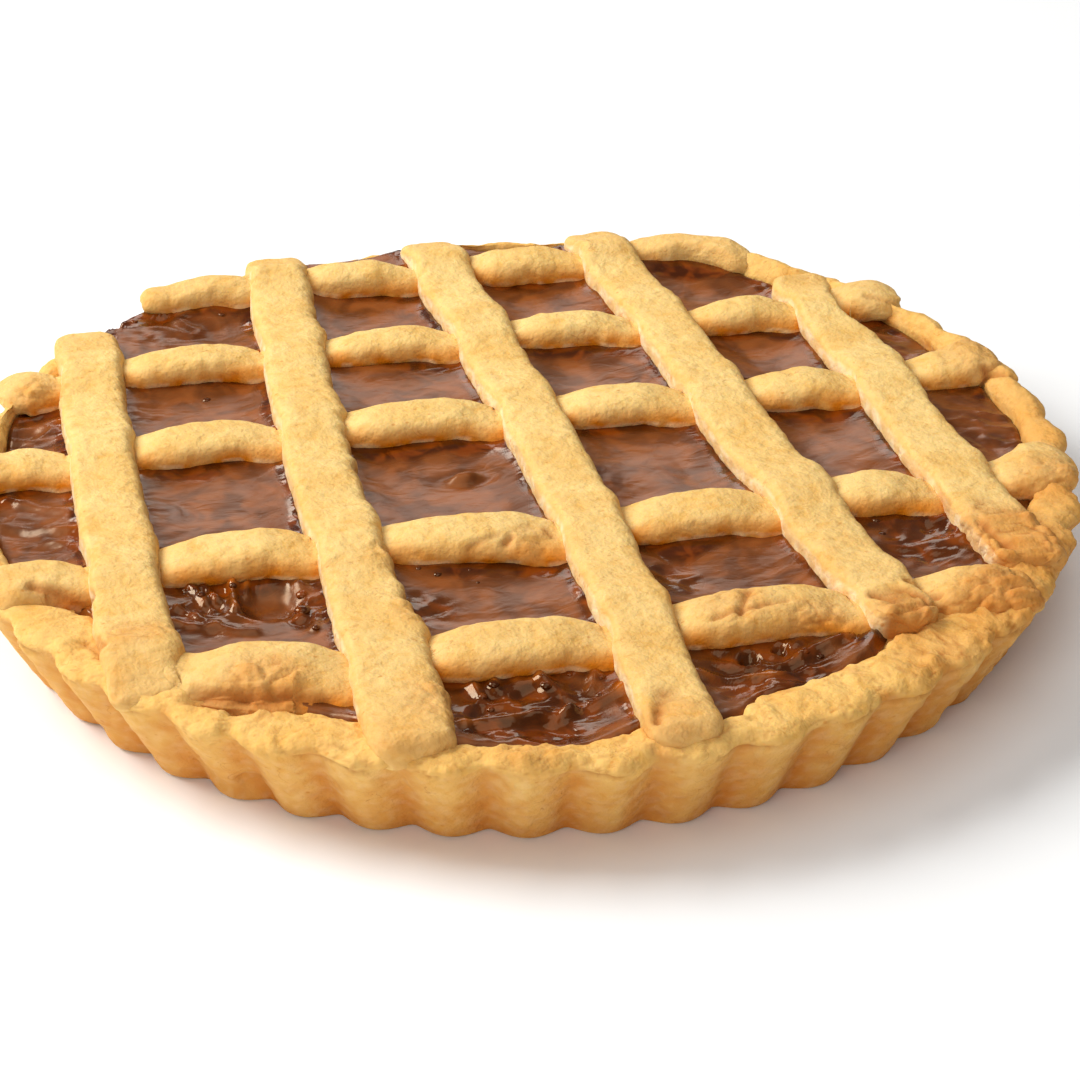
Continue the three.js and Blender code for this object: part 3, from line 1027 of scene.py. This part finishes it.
    def section(self, turn: float, row: Row) -> tuple[float, float]:
        """Works out one point of the strip's section.

        Args:
            turn: The way round, from 0 at the right foot over the top to 1 at the underside's end.
            row: The row that the section is at.

        Returns:
            How far to the right the point lies, and how high over the floor.
        """
        high = row.top - row.floor
        if turn > self.top_share:
            share = (turn - self.top_share) / (1 - self.top_share)
            return lerp(self.tuck - row.left, row.right - self.tuck, share), 0.0
        angle = math.pi * turn / self.top_share
        right = math.cos(angle) >= 0
        shoulders = self.cross_shoulders if self.plan.way is Way.CROSS else self.long_shoulders
        shoulder = shoulders[0 if right else 1]
        side = math.copysign(abs(math.cos(angle)) ** shoulder, math.cos(angle))
        up = high * max(0.0, math.sin(angle)) ** shoulder
        tucked = self.tuck * (1 - smooth(0.0, 2.0, up))
        return side * ((row.right if right else row.left) - tucked), up

    def mesh(self) -> Mesh:
        """Builds the strip as a closed body: a grid bent round its section and closed at its ends.

        Returns:
            The mesh in millimetres with its relief and its attributes.
        """
        plan = self.plan
        quarter = self.cap * math.pi / 2
        run = plan.end - plan.start - 2 * self.cap + 2 * quarter
        rows: dict[float, Row] = {}
        mesh = bmesh.new()
        bmesh.ops.create_grid(mesh, x_segments=round(run / self.spacing), y_segments=self.ring,
                              size=1)
        for vert in mesh.verts:
            way = round((vert.co.x + 1) / 2 * run, 3)
            if way not in rows:
                rows[way] = self.row(way, run, quarter)
            vert.co = self.bent(rows[way], (vert.co.y + 1) / 2)
        bmesh.ops.remove_doubles(mesh, verts=mesh.verts, dist=0.004)
        bmesh.ops.dissolve_degenerate(mesh, edges=mesh.edges, dist=0.001)
        bmesh.ops.recalc_face_normals(mesh, faces=mesh.faces)
        self.bake(mesh)
        return mesh

    def bent(self, row: Row, turn: float) -> Vector:
        """Puts one point of the grid in its place.

        Args:
            row: The point's row.
            turn: The way round the section, from 0 to 1.

        Returns:
            The point's place.
        """
        side, up = self.section(turn, row)
        edge = Vector((row.along, 40 * math.copysign(1, side), 0))
        waver = self.waver * grain(edge, 8, self.seed)
        waver += self.fine_waver * grain(edge, 3.1, self.seed)
        if side > 0:
            waver += self.plan.fray * (grain(edge, 5.3, self.seed) + 0.8 * grain(edge, 2.1, self.seed))
        side *= 1 + waver / self.plan.half
        core = 0.45 * (row.top - row.floor)
        spot = row.middle + Vector((row.heading.y, -row.heading.x)) * side * row.shrink
        near = 1 - smooth(0, 7, row.into)
        ragged = grain(Vector((side, 0, up)), 4, self.seed)
        spot += row.heading * self.ragged_end * near * row.shrink * ragged
        return Vector((spot.x, spot.y, row.floor + core + (up - core) * row.shrink))

    def bake(self, mesh: Mesh) -> None:
        """Moves the surface by the dough's relief and notes where it is browned, torn and soaked, and
        where shade is painted in its creases and on its shaded faces.

        Args:
            mesh: The closed strip in millimetres, which is changed in place.
        """
        dough = Dough(self.seed)
        layers = marks(mesh, "toast_and_shade", "crack_shade", "crumb", "damp_and_shade")
        mesh.normal_update()
        level = FORM.caramel_level - 0.8
        long = self.plan.way is Way.LONG
        for vert in mesh.verts:
            place = vert.co.copy()
            upward = vert.normal.z
            if upward < -0.6:
                continue
            relief = dough.relief(place)
            inner = FORM.inner_radius(bearing(place))
            free = 1 - smooth(inner - 3, inner + 1, math.hypot(place.x, place.y))
            low = (1 - smooth(level + 0.2, level + 2.8, place.z)) * free
            wall = 1 - smooth(0.1, 0.6, upward)
            teeth = low * wall * 0.3 * grain(place, 2.4, self.seed)
            vert.co += vert.normal * (relief.height * (0.5 + 0.5 * smooth(-0.3, 0.4, upward)) + teeth)
            vert[layers["toast_and_shade"]] = self.toast_and_shade(place, upward, relief)
            # Painted shade in creases and crumbled low spots.
            vert[layers["crack_shade"]] = self.crack_shade_strength * relief.crack_shade
            line = (1 - smooth(0.9, 1.7, place.z - FORM.caramel_top(place.x, place.y))) * free
            line *= 0.4 * smooth(-0.15, 0.25, grain(place, 3.1, self.seed + 4))
            facing_left = smooth(-0.2, -0.7, vert.normal.x) * free
            torn = facing_left * (0.25 + 0.45 * smooth(-0.2, 0.3, grain(place, 2.6, self.seed)))
            vert[layers["crumb"]] = wall * (torn if long else line)
            # Soaked dough near the caramel, with painted shade: most on the cross strips' faces turned
            # to the front, away from the key lamp, less on the long strips' walls.
            soaked = (1 - smooth(level + 1.5, level + 6.5, place.z)) * free
            shade_facing = smooth(0.1, -0.5, vert.normal.y) if not long else 0.4 * smooth(0.9, 0.3, upward)
            vert[layers["damp_and_shade"]] = soaked * shade_facing * (0.9 + 0.5 * grain(place, 3.4, self.seed + 2))

    def toast_and_shade(self, place: Vector, upward: float, relief: Relief) -> float:
        """Says how browned the strip is at a place, from 0 to 1."""
        shoulder = smooth(0.98, 0.75, upward) * smooth(0.2, 0.5, upward)
        knob = smooth(0.1, 0.5, relief.height)
        end = smooth(104, 122, math.hypot(place.x, place.y))
        front = smooth(40, -110, place.y)
        brown = self.brown_shoulder * shoulder + self.brown_knob * knob + self.brown_end * end
        brown += self.brown_front * front
        brown += self.brown_crumble * relief.crumble
        return min(1.0, brown)

    def build(self, finish: Finish) -> Piece:
        """Builds and dresses the strip."""
        return placed(f"{self.plan.name}_dough", self.mesh(), finish, self.plan.name)


@dataclass
class Shell:
    """The fluted shortcrust shell with its crumbly rim.

    The slant is how much of a raised rim its inner edge lacks, and the hang how far that edge
    sinks for each millimetre that it reaches over the hollow.
    """

    steps_a_flute: int = 20
    spacing: float = 0.8
    hidden_spacing: float = 12.0
    top_round: float = 1.6
    foot_round: float = 1.2
    inner_round: float = 2.4
    slant: float = 0.65
    hang: float = 0.12
    flute_fading: float = 0.4
    waver: float = 0.6
    billow: float = 1.2
    small_billow: float = 0.9
    layering: float = 0.14
    seam: float = 0.7
    brown_wall: float = 0.38
    # Painted shade on the wall: lower down, by the foot, in the flutes' creases, and on the right of
    # the rim.
    shade_low_wall: float = 0.22
    shade_by_foot: float = 0.14
    flute_shade: float = 0.38
    brown_rim: float = 0.18
    brown_crumble: float = 0.3
    right_side_shade: float = 0.3
    seed: float = 11.3

    def profile(self) -> tuple[Triple, ...]:
        """Lists the profile's corners: radius, height and how much each is rounded.

        Returns:
            The corners from the middle of the underside round the rim to the middle of the
            hollow's floor.
        """
        wall = FORM.rim_radius - FORM.base_radius
        floor, inner = FORM.cavity_floor, FORM.plain_inner
        return (
            (0, 0, 0),
            (FORM.base_radius - 0.8, 0, self.foot_round),
            (FORM.base_radius + 0.9 * wall, FORM.rim_height - 3.4, 0),
            (FORM.rim_radius, FORM.rim_height - 1.3, self.top_round),
            (FORM.rim_radius - 3.4, FORM.rim_height + 0.2, 0),
            (FORM.rim_radius - 6.5, FORM.rim_height + 0.2, 0),
            (inner + 0.3, FORM.rim_height - 0.6, self.inner_round),
            (inner, FORM.caramel_level - 5, 0),
            (FORM.cavity_foot, floor, 0),
            (0, floor, 0),
        )

    def chain(self, mesh: Mesh) -> None:
        """Draws the profile as a chain of short edges in the XZ plane."""
        corners = [(mesh.verts.new((radius, 0, height)), cut)
                   for radius, height, cut in self.profile()]
        for (first, _), (last, _) in zip(corners, corners[1:]):
            mesh.edges.new((first, last))
        for vert, cut in corners:
            if cut:
                bmesh.ops.bevel(mesh, geom=[vert], offset=cut, segments=4, profile=0.5,
                                affect="VERTICES", material=-1)
        for edge in list(mesh.edges):
            outside = max(vert.co.x for vert in edge.verts) > FORM.cavity_foot + 1
            hidden = edge.calc_length() > 60
            step = self.hidden_spacing if hidden or not outside else self.spacing
            cuts = int(edge.calc_length() / step)
            if cuts:
                bmesh.ops.subdivide_edges(mesh, edges=[edge], cuts=cuts)

    def moved(self, place: Vector) -> Vector:
        """Moves a point of the round shell by its flutes, its wavy rim and its hollow.

        Args:
            place: The point of the plain turned shell.

        Returns:
            The point's place before the dough's relief.
        """
        radius = math.hypot(place.x, place.y)
        if radius < 1 or place.z < 0.01 and radius < FORM.base_radius - 14:
            return place
        angle, inner, top = bearing(place), FORM.plain_inner, FORM.rim_height
        rise = smooth(0.4 * top, top, place.z)
        rise *= FORM.rim_top(angle) - top
        lacking = self.slant * max(0.0, rise)
        hanging = self.hang * max(0.0, -FORM.edge_shift(angle))
        edge = FORM.dough_edge(angle)
        wall = lerp(FORM.base_radius, FORM.rim_radius, place.z / top)
        rolled = 1.3 if place.z < top - 0.9 else 0.5
        if place.z > FORM.cavity_floor - 0.5 and radius < min(inner + rolled, wall - 3):
            share = min(1.0, (radius - FORM.cavity_foot) / (inner - FORM.cavity_foot))
            far = lerp(FORM.cavity_foot, edge, share) if share > 0 else radius
            sink = hanging * smooth(20, 23, place.z)
            far -= max(0.0, FORM.cavity_foot - edge) * (1 - share) if share > 0 else 0
            far += max(0.0, radius - inner - 0.5)
            return turned_out(angle, far, place.z + rise - lacking - sink)
        fade = 1 - self.flute_fading * smooth(top - 4, top, place.z)
        on_top = place.z > top - 1.2 and radius < FORM.rim_radius - 1
        on_wall = smooth(inner, FORM.rim_radius - 2, radius) if on_top else smooth(100, 112.6, radius)
        far = radius - FORM.flute_depth * fade * on_wall * (1 - FORM.flute(angle))
        far += self.waver * smooth(top - 5, top, place.z) * on_wall * ripple(angle, 4.1)
        sink = 0.0
        if on_top:
            inwards = 1 - smooth(inner, FORM.rim_radius - 2.5, radius)
            far += (edge - inner - 0.5) * inwards
            sink = (lacking + hanging) * inwards
        return turned_out(angle, far, place.z + rise - sink)

    def mesh(self) -> Mesh:
        """Turns the profile round and bakes its surface.

        Returns:
            The mesh in millimetres with its relief and its attributes.
        """
        mesh = bmesh.new()
        self.chain(mesh)
        bmesh.ops.spin(mesh, geom=[*mesh.verts, *mesh.edges], cent=(0, 0, 0), axis=(0, 0, 1),
                       dvec=(0, 0, 0), angle=2 * math.pi, steps=FORM.flutes * self.steps_a_flute,
                       use_merge=True, use_duplicate=False)
        bmesh.ops.remove_doubles(mesh, verts=mesh.verts, dist=0.002)
        for vert in mesh.verts:
            vert.co = self.moved(vert.co)
        bmesh.ops.recalc_face_normals(mesh, faces=mesh.faces)
        self.bake(mesh)
        return mesh

    def bake(self, mesh: Mesh) -> None:
        """Moves the surface by the dough's relief and notes where it is browned and torn, and where
        shade is painted in its creases, low spots and shaded sides.

        Args:
            mesh: The closed shell in millimetres, which is changed in place.
        """
        dough = Dough(self.seed)
        layers = marks(mesh, "toast_and_shade", "crack_shade", "crumb", "damp_and_shade")
        mesh.normal_update()
        for vert in mesh.verts:
            place = vert.co.copy()
            radius, angle = math.hypot(place.x, place.y), bearing(place)
            if place.z < 0.3 or radius < 103:
                continue
            relief = dough.relief(place)
            level = place.z + 3 * grain(place, 6, 2.9) + 2.5 * (FORM.flute(angle) - 0.7)
            on_rim = smooth(FORM.rim_height - 5, FORM.rim_height - 1.5, level)
            front = lerp(0.35, 1.0, smooth(0.2, 0.7, -math.sin(angle)))
            billow = abs(grain(place, 6.2, 4.4)) - 0.2
            small = abs(grain(place, 2.8, 9.1)) - 0.2
            height = relief.height * lerp(0.5, 1.0, on_rim)
            height += on_rim * front * (self.billow * billow + self.small_billow * small)
            layer = grain(Vector((place.x / 4, place.y / 4, place.z * 1.3)), 2.2, 6.6)
            flaky = self.layering * layer + 0.24 * small
            height += (1 - on_rim) * smooth(0.3, 2.5, place.z) * flaky
            outer = smooth(FORM.rim_radius - 5, FORM.rim_radius - 3, radius)
            seam = self.seam_share(place, angle) * outer
            height -= self.seam * seam
            vert.co += vert.normal * height * smooth(0.3, 2.0, place.z)
            # Painted shade: the rim's front low spots, the crease under its lip and its creases take
            # the dark colour of cracks.
            hollow = on_rim * front * smooth(-0.12, -0.2, small)
            vert[layers["crack_shade"]] = min(1.0, 0.6 * relief.crack_shade * on_rim + 0.5 * seam + 0.35 * hollow)
            vert[layers["toast_and_shade"]] = self.toast_and_shade(place, relief, on_rim)
            vert[layers["crumb"]] = 0.1 * (1 - on_rim) * smooth(0.0, 0.4, grain(place, 1.8, 8.8))

    def seam_share(self, place: Vector, angle: float) -> float:
        """Says how deep a place lies in the crack under the rim's lip, from 0 to 1."""
        level = FORM.rim_top(angle) - 2.8 + 0.9 * grain(place, 9, 5.5)
        line = math.exp(-(((place.z - level) / 0.55) ** 2))
        return line * smooth(-0.1, 0.3, grain(place, 12, 3.3))

    def toast_and_shade(self, place: Vector, relief: Relief, on_rim: float) -> float:
        """Says how browned the shell is at a place, from 0 to 1, with painted shade: darker low on the
        wall, by the foot, in the flutes' creases and towards the right, and lighter on the flutes'
        ridges.
        """
        foot = 1 - smooth(1.0, 7.0, place.z)
        below = 1 - smooth(8, FORM.rim_height - 2, place.z)
        ridge = FORM.flute(bearing(place))
        wall = self.brown_wall + self.shade_low_wall * below + self.shade_by_foot * foot
        wall += self.flute_shade * (0.6 - ridge)
        wall += 0.2 * grain(place, 3.2, 1.1)
        # Painted shade: the wall is darker towards the right, away from the key lamp.
        wall += 0.2 * smooth(-50, 100, place.x)
        # Painted shade: the rim is darker on the right.
        right = smooth(70, 120, place.x) * smooth(60, -20, place.y)
        knob = 0.12 * smooth(0.1, 0.6, relief.height)
        rim = self.brown_rim + self.brown_crumble * relief.crumble + knob + self.right_side_shade * right
        return min(1.0, max(0.0, lerp(wall, rim, on_rim)))

    def build(self, finish: Finish) -> Piece:
        """Builds and dresses the shell."""
        return placed("shortcrust_shell", self.mesh(), finish, "crust")


@dataclass
class Filling:
    """The caramel: a skinned surface in the lattice's windows, closed below into a body."""

    divisions: int = 300
    overlap: float = 1.4
    climb: Triple = (0.5, 0.7, 0.6)
    climb_width: Triple = (3.0, 2.2, 1.8)
    under_strip: float = 0.6
    bowl: float = 0.8
    swell: float = 0.6
    wrinkle: float = 0.7
    torn_width: float = 4.5
    bent_width: float = 2.2
    side_width: float = 2.2
    fold: float = 1.0
    bump_at: Place = (-11.3, 1.2)
    bump_size: Place = (5.2, 2.6)
    bump_height: float = 1.8
    bump_moat: float = 0.4
    rim_swell: float = 1.3
    rolled_over: float = 2.2
    overflow: float = 4.2

    def border(self, angle: float) -> float:
        """Gives how far out the caramel reaches, a little way over the rim where that is low."""
        over = FORM.dips[0].share(angle) + 0.25 * FORM.dips[1].share(angle)
        return FORM.dough_edge(angle) + self.overlap + self.overflow * over

    def surface(self, x: float, y: float) -> tuple[float, float]:
        """Works out the caramel's surface.

        Args:
            x: The place in plan.
            y: The place in plan.

        Returns:
            The height in millimetres, and how bare of skin the caramel is there, from 0 to 1.
        """
        place = Vector((x, y, 0))
        in_front, behind = LATTICE.gaps(Way.CROSS, x, y)
        to_left, to_right = LATTICE.gaps(Way.LONG, x, y)
        level = FORM.caramel_top(x, y)
        if behind == 0:
            offset, half = LATTICE.nearest(Way.CROSS, x, y)
            under = (offset + half) / (2 * half)
            climb = lerp(self.climb[0] * LATTICE.arch(x, y), self.under_strip, under)
            return level + climb, 1.0
        back, side, front = self.climb
        level += back * LATTICE.arch(x, y) * math.exp(-behind / self.climb_width[0])
        level += side * math.exp(-min(to_left, to_right) / self.climb_width[1])
        level += front * math.exp(-in_front / self.climb_width[2])
        free = min(to_left, to_right, in_front, behind)
        level -= self.bowl * smooth(1.0, 9.0, free) if free < 50 else 0.0
        warp = self.bent_width * Vector((grain(place, 7, 5.1), grain(place, 7, 6.2), 0))
        swirl = grain(Vector((0.5 * x + 0.1 * y, 1.5 * y - 0.45 * x, 0)) + warp, 4.2, 7.3)
        level += 0.16 * (0.3 - abs(swirl)) + 0.04 * grain(place, 2.3, 8.4)
        level += self.swell * grain(place, 11, 3.2)
        level += self.folds(place, warp)
        level += self.wrinkles(place, warp, to_left)
        level += sum(flow.depth * flow.share(place) for flow in FLOWS)
        level += self.blister(x, y)
        level -= sum(pit.share(x, y) for pit in PITS)
        return level, self.torn(place, behind, to_right)

    def torn(self, place: Vector, behind: float, to_right: float) -> float:
        """Says how bare of skin the caramel is at a free place.

        Args:
            place: The place in plan.
            behind: The free way from there to the strip at the back.
            to_right: The free way from there to the strip on the right.

        Returns:
            A share between 0 and 1.
        """
        tear = self.torn_width * (1 + 1.2 * grain(place, 15, 2.7)) + 1.3 * grain(place, 3.5, 2.2)
        torn = 1 - smooth(tear - 3.0, tear + 1.5, behind)
        side = self.side_width * (0.9 + grain(place, 11, 4.1)) + 0.3 * grain(place, 4.5, 3.7)
        torn = max(torn, 1 - smooth(side - 1.5, side + 1.0, to_right))
        worn = min(1.0, 1.6 * sum(spot.share(place.x, place.y) for spot in FOLDS))
        return max(torn, worn * lerp(0.3, 0.85, smooth(-10, -40, place.y)))

    def wrinkles(self, place: Vector, warp: Vector, to_left: float) -> float:
        """Gives the fine slanting wrinkles that the skin has beside the strip on its left.

        Args:
            place: The place in plan.
            warp: How far the pattern is moved there.
            to_left: The free way from there to the strip on the left.

        Returns:
            The height to add, in millimetres.
        """
        if to_left > 14:
            return 0.0
        turned = Vector((0.35 * place.x + 0.25 * place.y, place.y - 0.7 * place.x, 0)) + 0.6 * warp
        share = math.exp(-to_left / 5.0) * (0.6 + grain(place, 12, 9.4))
        return self.wrinkle * share * (0.25 - abs(grain(turned, 3.0, 15.2)))

    def folds(self, place: Vector, warp: Vector) -> float:
        """Gives the height of the thick folds that the skin has in some windows."""
        share = min(1.0, sum(spot.share(place.x, place.y) for spot in FOLDS))
        if share < 0.01:
            return 0.0
        turned = Vector((0.75 * place.x - 0.2 * place.y, 1.1 * place.y + 0.2 * place.x, 0)) + warp
        thick = 0.32 - abs(grain(turned, 6.5, 12.1)) * 1.5
        thin = 0.2 - abs(grain(turned, 3.4, 13.7))
        return self.fold * share * (2.0 * thick + 0.8 * thin)

    def blister(self, x: float, y: float) -> float:
        """Gives the height of the one large oval blister, with the hollow round it."""
        turned = Vector((x - self.bump_at[0], y - self.bump_at[1]))
        turned.rotate(Matrix.Rotation(math.radians(-10), 2))
        away = math.hypot(turned.x / self.bump_size[0], turned.y / self.bump_size[1])
        moat = self.bump_moat * math.exp(-(((away - 1.3) / 0.4) ** 2))
        return self.bump_height * (1 - smooth(0.2, 1.0, away)) - moat

    def mesh(self) -> Mesh:
        """Builds the caramel from a square grid that is drawn out to the rim's round.

        Returns:
            The mesh in millimetres with its attributes, closed below.
        """
        mesh = bmesh.new()
        bmesh.ops.create_grid(mesh, x_segments=self.divisions, y_segments=self.divisions, size=1)
        layers = marks(mesh, "bare", "thin")
        for vert in mesh.verts:
            u, v = vert.co.x, vert.co.y
            disc = Vector((u * math.sqrt(1 - v * v / 2), v * math.sqrt(1 - u * u / 2)))
            angle = bearing(disc)
            reach = self.border(angle)
            x, y = disc * reach
            level, torn = self.surface(x, y)
            vert.co = (x, y, level + self.edge(angle, disc.length * reach, reach))
            vert[layers["bare"]] = torn
            vert[layers["thin"]] = self.thinned(x, y, level, torn)
        self.close(mesh)
        return mesh

    def thinned(self, x: float, y: float, level: float, torn: float) -> float:
        """Says how much light comes through the caramel, most on high folds and climbing edges."""
        high = smooth(0.2, 1.8, level - FORM.caramel_top(x, y))
        patch = smooth(-0.25, 0.3, grain(Vector((x, y, 0)), 5, 17.3))
        return min(1.0, high * (0.2 + 0.7 * torn) * patch)

    def edge(self, angle: float, radius: float, reach: float) -> float:
        """Gives how the surface rises and rolls over by the rim.

        Args:
            angle: The place round the tart, in radians.
            radius: The place's distance from the middle.
            reach: How far out the caramel reaches there.

        Returns:
            The height to add, in millimetres.
        """
        front = smooth(0.25, 0.85, -math.sin(angle))
        swell = self.rim_swell * front * (1 - smooth(3.0, 8.5, reach - radius))
        return swell - self.rolled_over * (1 - smooth(0.0, 2.6, reach - radius))

    def close(self, mesh: Mesh) -> None:
        """Draws the rim of the surface down into the hollow and closes the body."""
        rim = [edge for edge in mesh.edges if edge.is_boundary]
        drawn = bmesh.ops.extrude_edge_only(mesh, edges=rim)["geom"]
        foot = FORM.cavity_foot - 1
        for vert in (part for part in drawn if isinstance(part, bmesh.types.BMVert)):
            flat = Vector((vert.co.x, vert.co.y)).normalized() * foot
            vert.co = (flat.x, flat.y, FORM.cavity_floor + 0.5)
        low = [edge for edge in mesh.edges if edge.is_boundary]
        bmesh.ops.holes_fill(mesh, edges=low)
        bmesh.ops.recalc_face_normals(mesh, faces=mesh.faces)

    def build(self, finish: Finish) -> Piece:
        """Builds and dresses the caramel."""
        return placed("caramel", self.mesh(), finish, "filling")


class Ground:
    """Finds the finished surface of some pieces under a place in plan."""

    def __init__(self, pieces: list[Piece]) -> None:
        """Reads the pieces' meshes once."""
        self.trees = [BVHTree.FromPolygons([vert.co for vert in piece.data.vertices],
                                           [face.vertices for face in piece.data.polygons])
                      for piece in pieces]

    def under(self, x: float, y: float) -> tuple[Vector, Vector] | None:
        """Drops a plumb line on the pieces.

        Args:
            x: The place in plan, in millimetres.
            y: The place in plan, in millimetres.

        Returns:
            The highest place hit, in millimetres, and the surface's normal there, or None.
        """
        hits = [tree.ray_cast(Vector((x, y, 90)) * MM, Vector((0, 0, -1))) for tree in self.trees]
        hits = [hit for hit in hits if hit[0] is not None]
        if not hits:
            return None
        spot, normal, *_ = max(hits, key=lambda hit: hit[0].z)
        return spot / MM, normal


@dataclass
class Beads:
    """Small domes of caramel that boiled up through the skin, joined into one piece."""

    domes: tuple[Triple, ...] = (
        (70.8, -40.5, 1.1), (77.1, -38.9, 1.3), (80.1, -40.1, 1.0), (81.8, -45.5, 0.9),
        (84.3, -51.2, 1.0), (70.5, -45.4, 1.1), (82.9, -39.2, 0.8),
        (21.1, -83.8, 1.2), (40.1, -90.4, 1.2), (43.1, -91.1, 1.0),
        (-72.8, -33.6, 1.0), (-70.5, -33.0, 0.9), (-75, -40.1, 1.1), (-68, -37.8, 1.0),
        (-77.7, -36.6, 1.0), (-54.3, -43, 1.6), (-53.8, -58.5, 1.0), (-55.3, -49.5, 2.0),
        (-27.5, -85.4, 1.1), (-23.1, -88.6, 1.4), (-25.7, -90.7, 1.2), (-18.3, -86.0, 1.2),
        (-13, -91.0, 1.5), (-22.6, -98.3, 1.1), (-24.9, -94.7, 1.1), (-1.5, -89.4, 1.1),
        (-3, -94.6, 1.2), (-5.4, -97.1, 1.0), (-31.5, -104.6, 1.6), (-7.3, -86.9, 0.9),
        (-25.6, -42.3, 1.1), (-29.1, -39.4, 0.9), (-18.7, -42.1, 0.5), (-17.8, -46.3, 0.5),
        (-68.8, 101.0, 1.3), (-61.2, 99.2, 1.2), (-74.7, 95.4, 1.1), (-53.2, 96.0, 1.4),
        (-62.4, 53.3, 1.2),
    )
    size: float = 0.85
    flatness: float = 0.62
    sunk: float = 0.3

    def mesh(self, caramel: Ground, dough: Ground) -> Mesh:
        """Models the beads where the caramel lies free.

        Args:
            caramel: The caramel's surface.
            dough: The surface of the strips and the shell.

        Returns:
            The joined domes, in millimetres.
        """
        mesh = bmesh.new()
        layers = marks(mesh, "bare")
        for x, y, plain in self.domes:
            hit, over = caramel.under(x, y), dough.under(x, y)
            if hit is None or over is not None and over[0].z > hit[0].z:
                continue
            radius = self.size * plain
            middle = hit[0] - Vector((0, 0, self.sunk * radius))
            flattened = Matrix.Diagonal((radius, radius, self.flatness * radius, 1))
            bmesh.ops.create_icosphere(mesh, subdivisions=3, radius=1,
                                       matrix=Matrix.Translation(middle) @ flattened)
        for vert in mesh.verts:
            vert.co += 0.12 * grain(vert.co, 1.1, 5.0) * Vector((1, 1, 1))
            vert[layers["bare"]] = 1.0
        return mesh

    def build(self, caramel: Ground, dough: Ground, finish: Finish) -> Piece:
        """Builds and dresses the beads."""
        return placed("caramel_beads", self.mesh(caramel, dough), finish)


@dataclass(frozen=True)
class Camera:
    """The camera at the photograph's angle."""

    place: Place = (-0.1252, -0.6120)
    height: float = 0.3491
    right: Triple = (0.977, -0.2129, -0.0078)
    up: Triple = (0.1096, 0.4707, 0.8754)
    lens: float = 105.8
    sensor: float = 36.0

    def build(self) -> None:
        """Makes the camera the scene's own."""
        data = bpy.data.cameras.new("photo_camera")
        data.lens = self.lens
        data.sensor_width = self.sensor
        camera = added("photo_camera", data)
        right = Vector(self.right).normalized()
        up = (Vector(self.up) - right * right.dot(Vector(self.up))).normalized()
        turn = Matrix((right, up, right.cross(up))).transposed()
        camera.matrix_world = Matrix.Translation((*self.place, self.height)) @ turn.to_4x4()
        bpy.context.scene.camera = camera


@dataclass(frozen=True)
class Lamp:
    """A square soft lamp: its place and size in metres and its power in watts."""

    name: str
    place: Triple
    size: float
    power: float

    def build(self) -> None:
        """Hangs the lamp so that it looks at the tart's middle."""
        data = bpy.data.lights.new(self.name, "AREA")
        data.size = self.size
        data.energy = self.power
        lamp = added(self.name, data)
        lamp.location = self.place
        lamp.rotation_euler = (-Vector(self.place)).to_track_quat("-Z", "Y").to_euler()


@dataclass(frozen=True)
class Studio:
    """A plain pale floor under soft light, brightest from the left and a little behind."""

    floor_size: float = 6.0
    floor_colour: Colour = (0.93, 0.93, 0.92)
    floor_roughness: float = 0.9
    sky: float = 0.17
    lamps: tuple[Lamp, ...] = (
        Lamp("key", (-1.0, 0.5, 0.95), 0.8, 25.0),
        Lamp("window", (-0.25, 1.6, 1.05), 0.25, 1.2),
        Lamp("back", (0.37, 1.9, 1.02), 0.8, 4.2),
        Lamp("top", (0.1, -0.2, 1.9), 1.6, 9.5),
        Lamp("front", (-0.7, -1.5, 0.9), 1.2, 11.0),
    )

    def build(self) -> None:
        """Lays the floor, hangs the lamps and lights the sky."""
        mesh = bmesh.new()
        bmesh.ops.create_grid(mesh, x_segments=1, y_segments=1, size=self.floor_size / 2)
        paint = Nodes("floor_paint").dress({"Base Color": self.floor_colour,
                                            "Roughness": self.floor_roughness})
        floor = modelled("floor", mesh, paint)
        for lamp in self.lamps:
            lamp.build()
        world = bpy.data.worlds.new("studio")
        world.use_nodes = True
        world.node_tree.nodes["Background"].inputs["Color"].default_value = (1, 1, 1, 1)
        world.node_tree.nodes["Background"].inputs["Strength"].default_value = self.sky
        bpy.context.scene.world = world
        bpy.context.scene.view_settings.view_transform = "Standard"


def main() -> None:
    """Builds the studio and the tart's pieces in order and reports each."""
    logging.basicConfig(level=logging.INFO, format="%(name)s: %(message)s")
    Camera().build()
    Studio().build()
    strip_dough = DoughFinish("strip_dough").material()
    shell_dough = DoughFinish("shell_dough", pale=srgb(240, 197, 116),
                              golden=srgb(228, 170, 78)).material()
    caramel = CaramelFinish("dulce_de_leche").material()
    shell = Shell().build(shell_dough)
    filling = Filling().build(caramel)
    plans = (*LATTICE.cross_plans, *LATTICE.long_plans)
    strips = [Strip(plan, seed=3.7 * (i + 1)).build(strip_dough) for i, plan in enumerate(plans)]
    dough = Ground([shell, *strips])
    beads = Beads().build(Ground([filling]), dough, caramel)
    for piece in (shell, filling, *strips, beads):
        log.info("%s has %d faces", piece.name, len(piece.data.polygons))


if __name__ == "__main__":
    main()
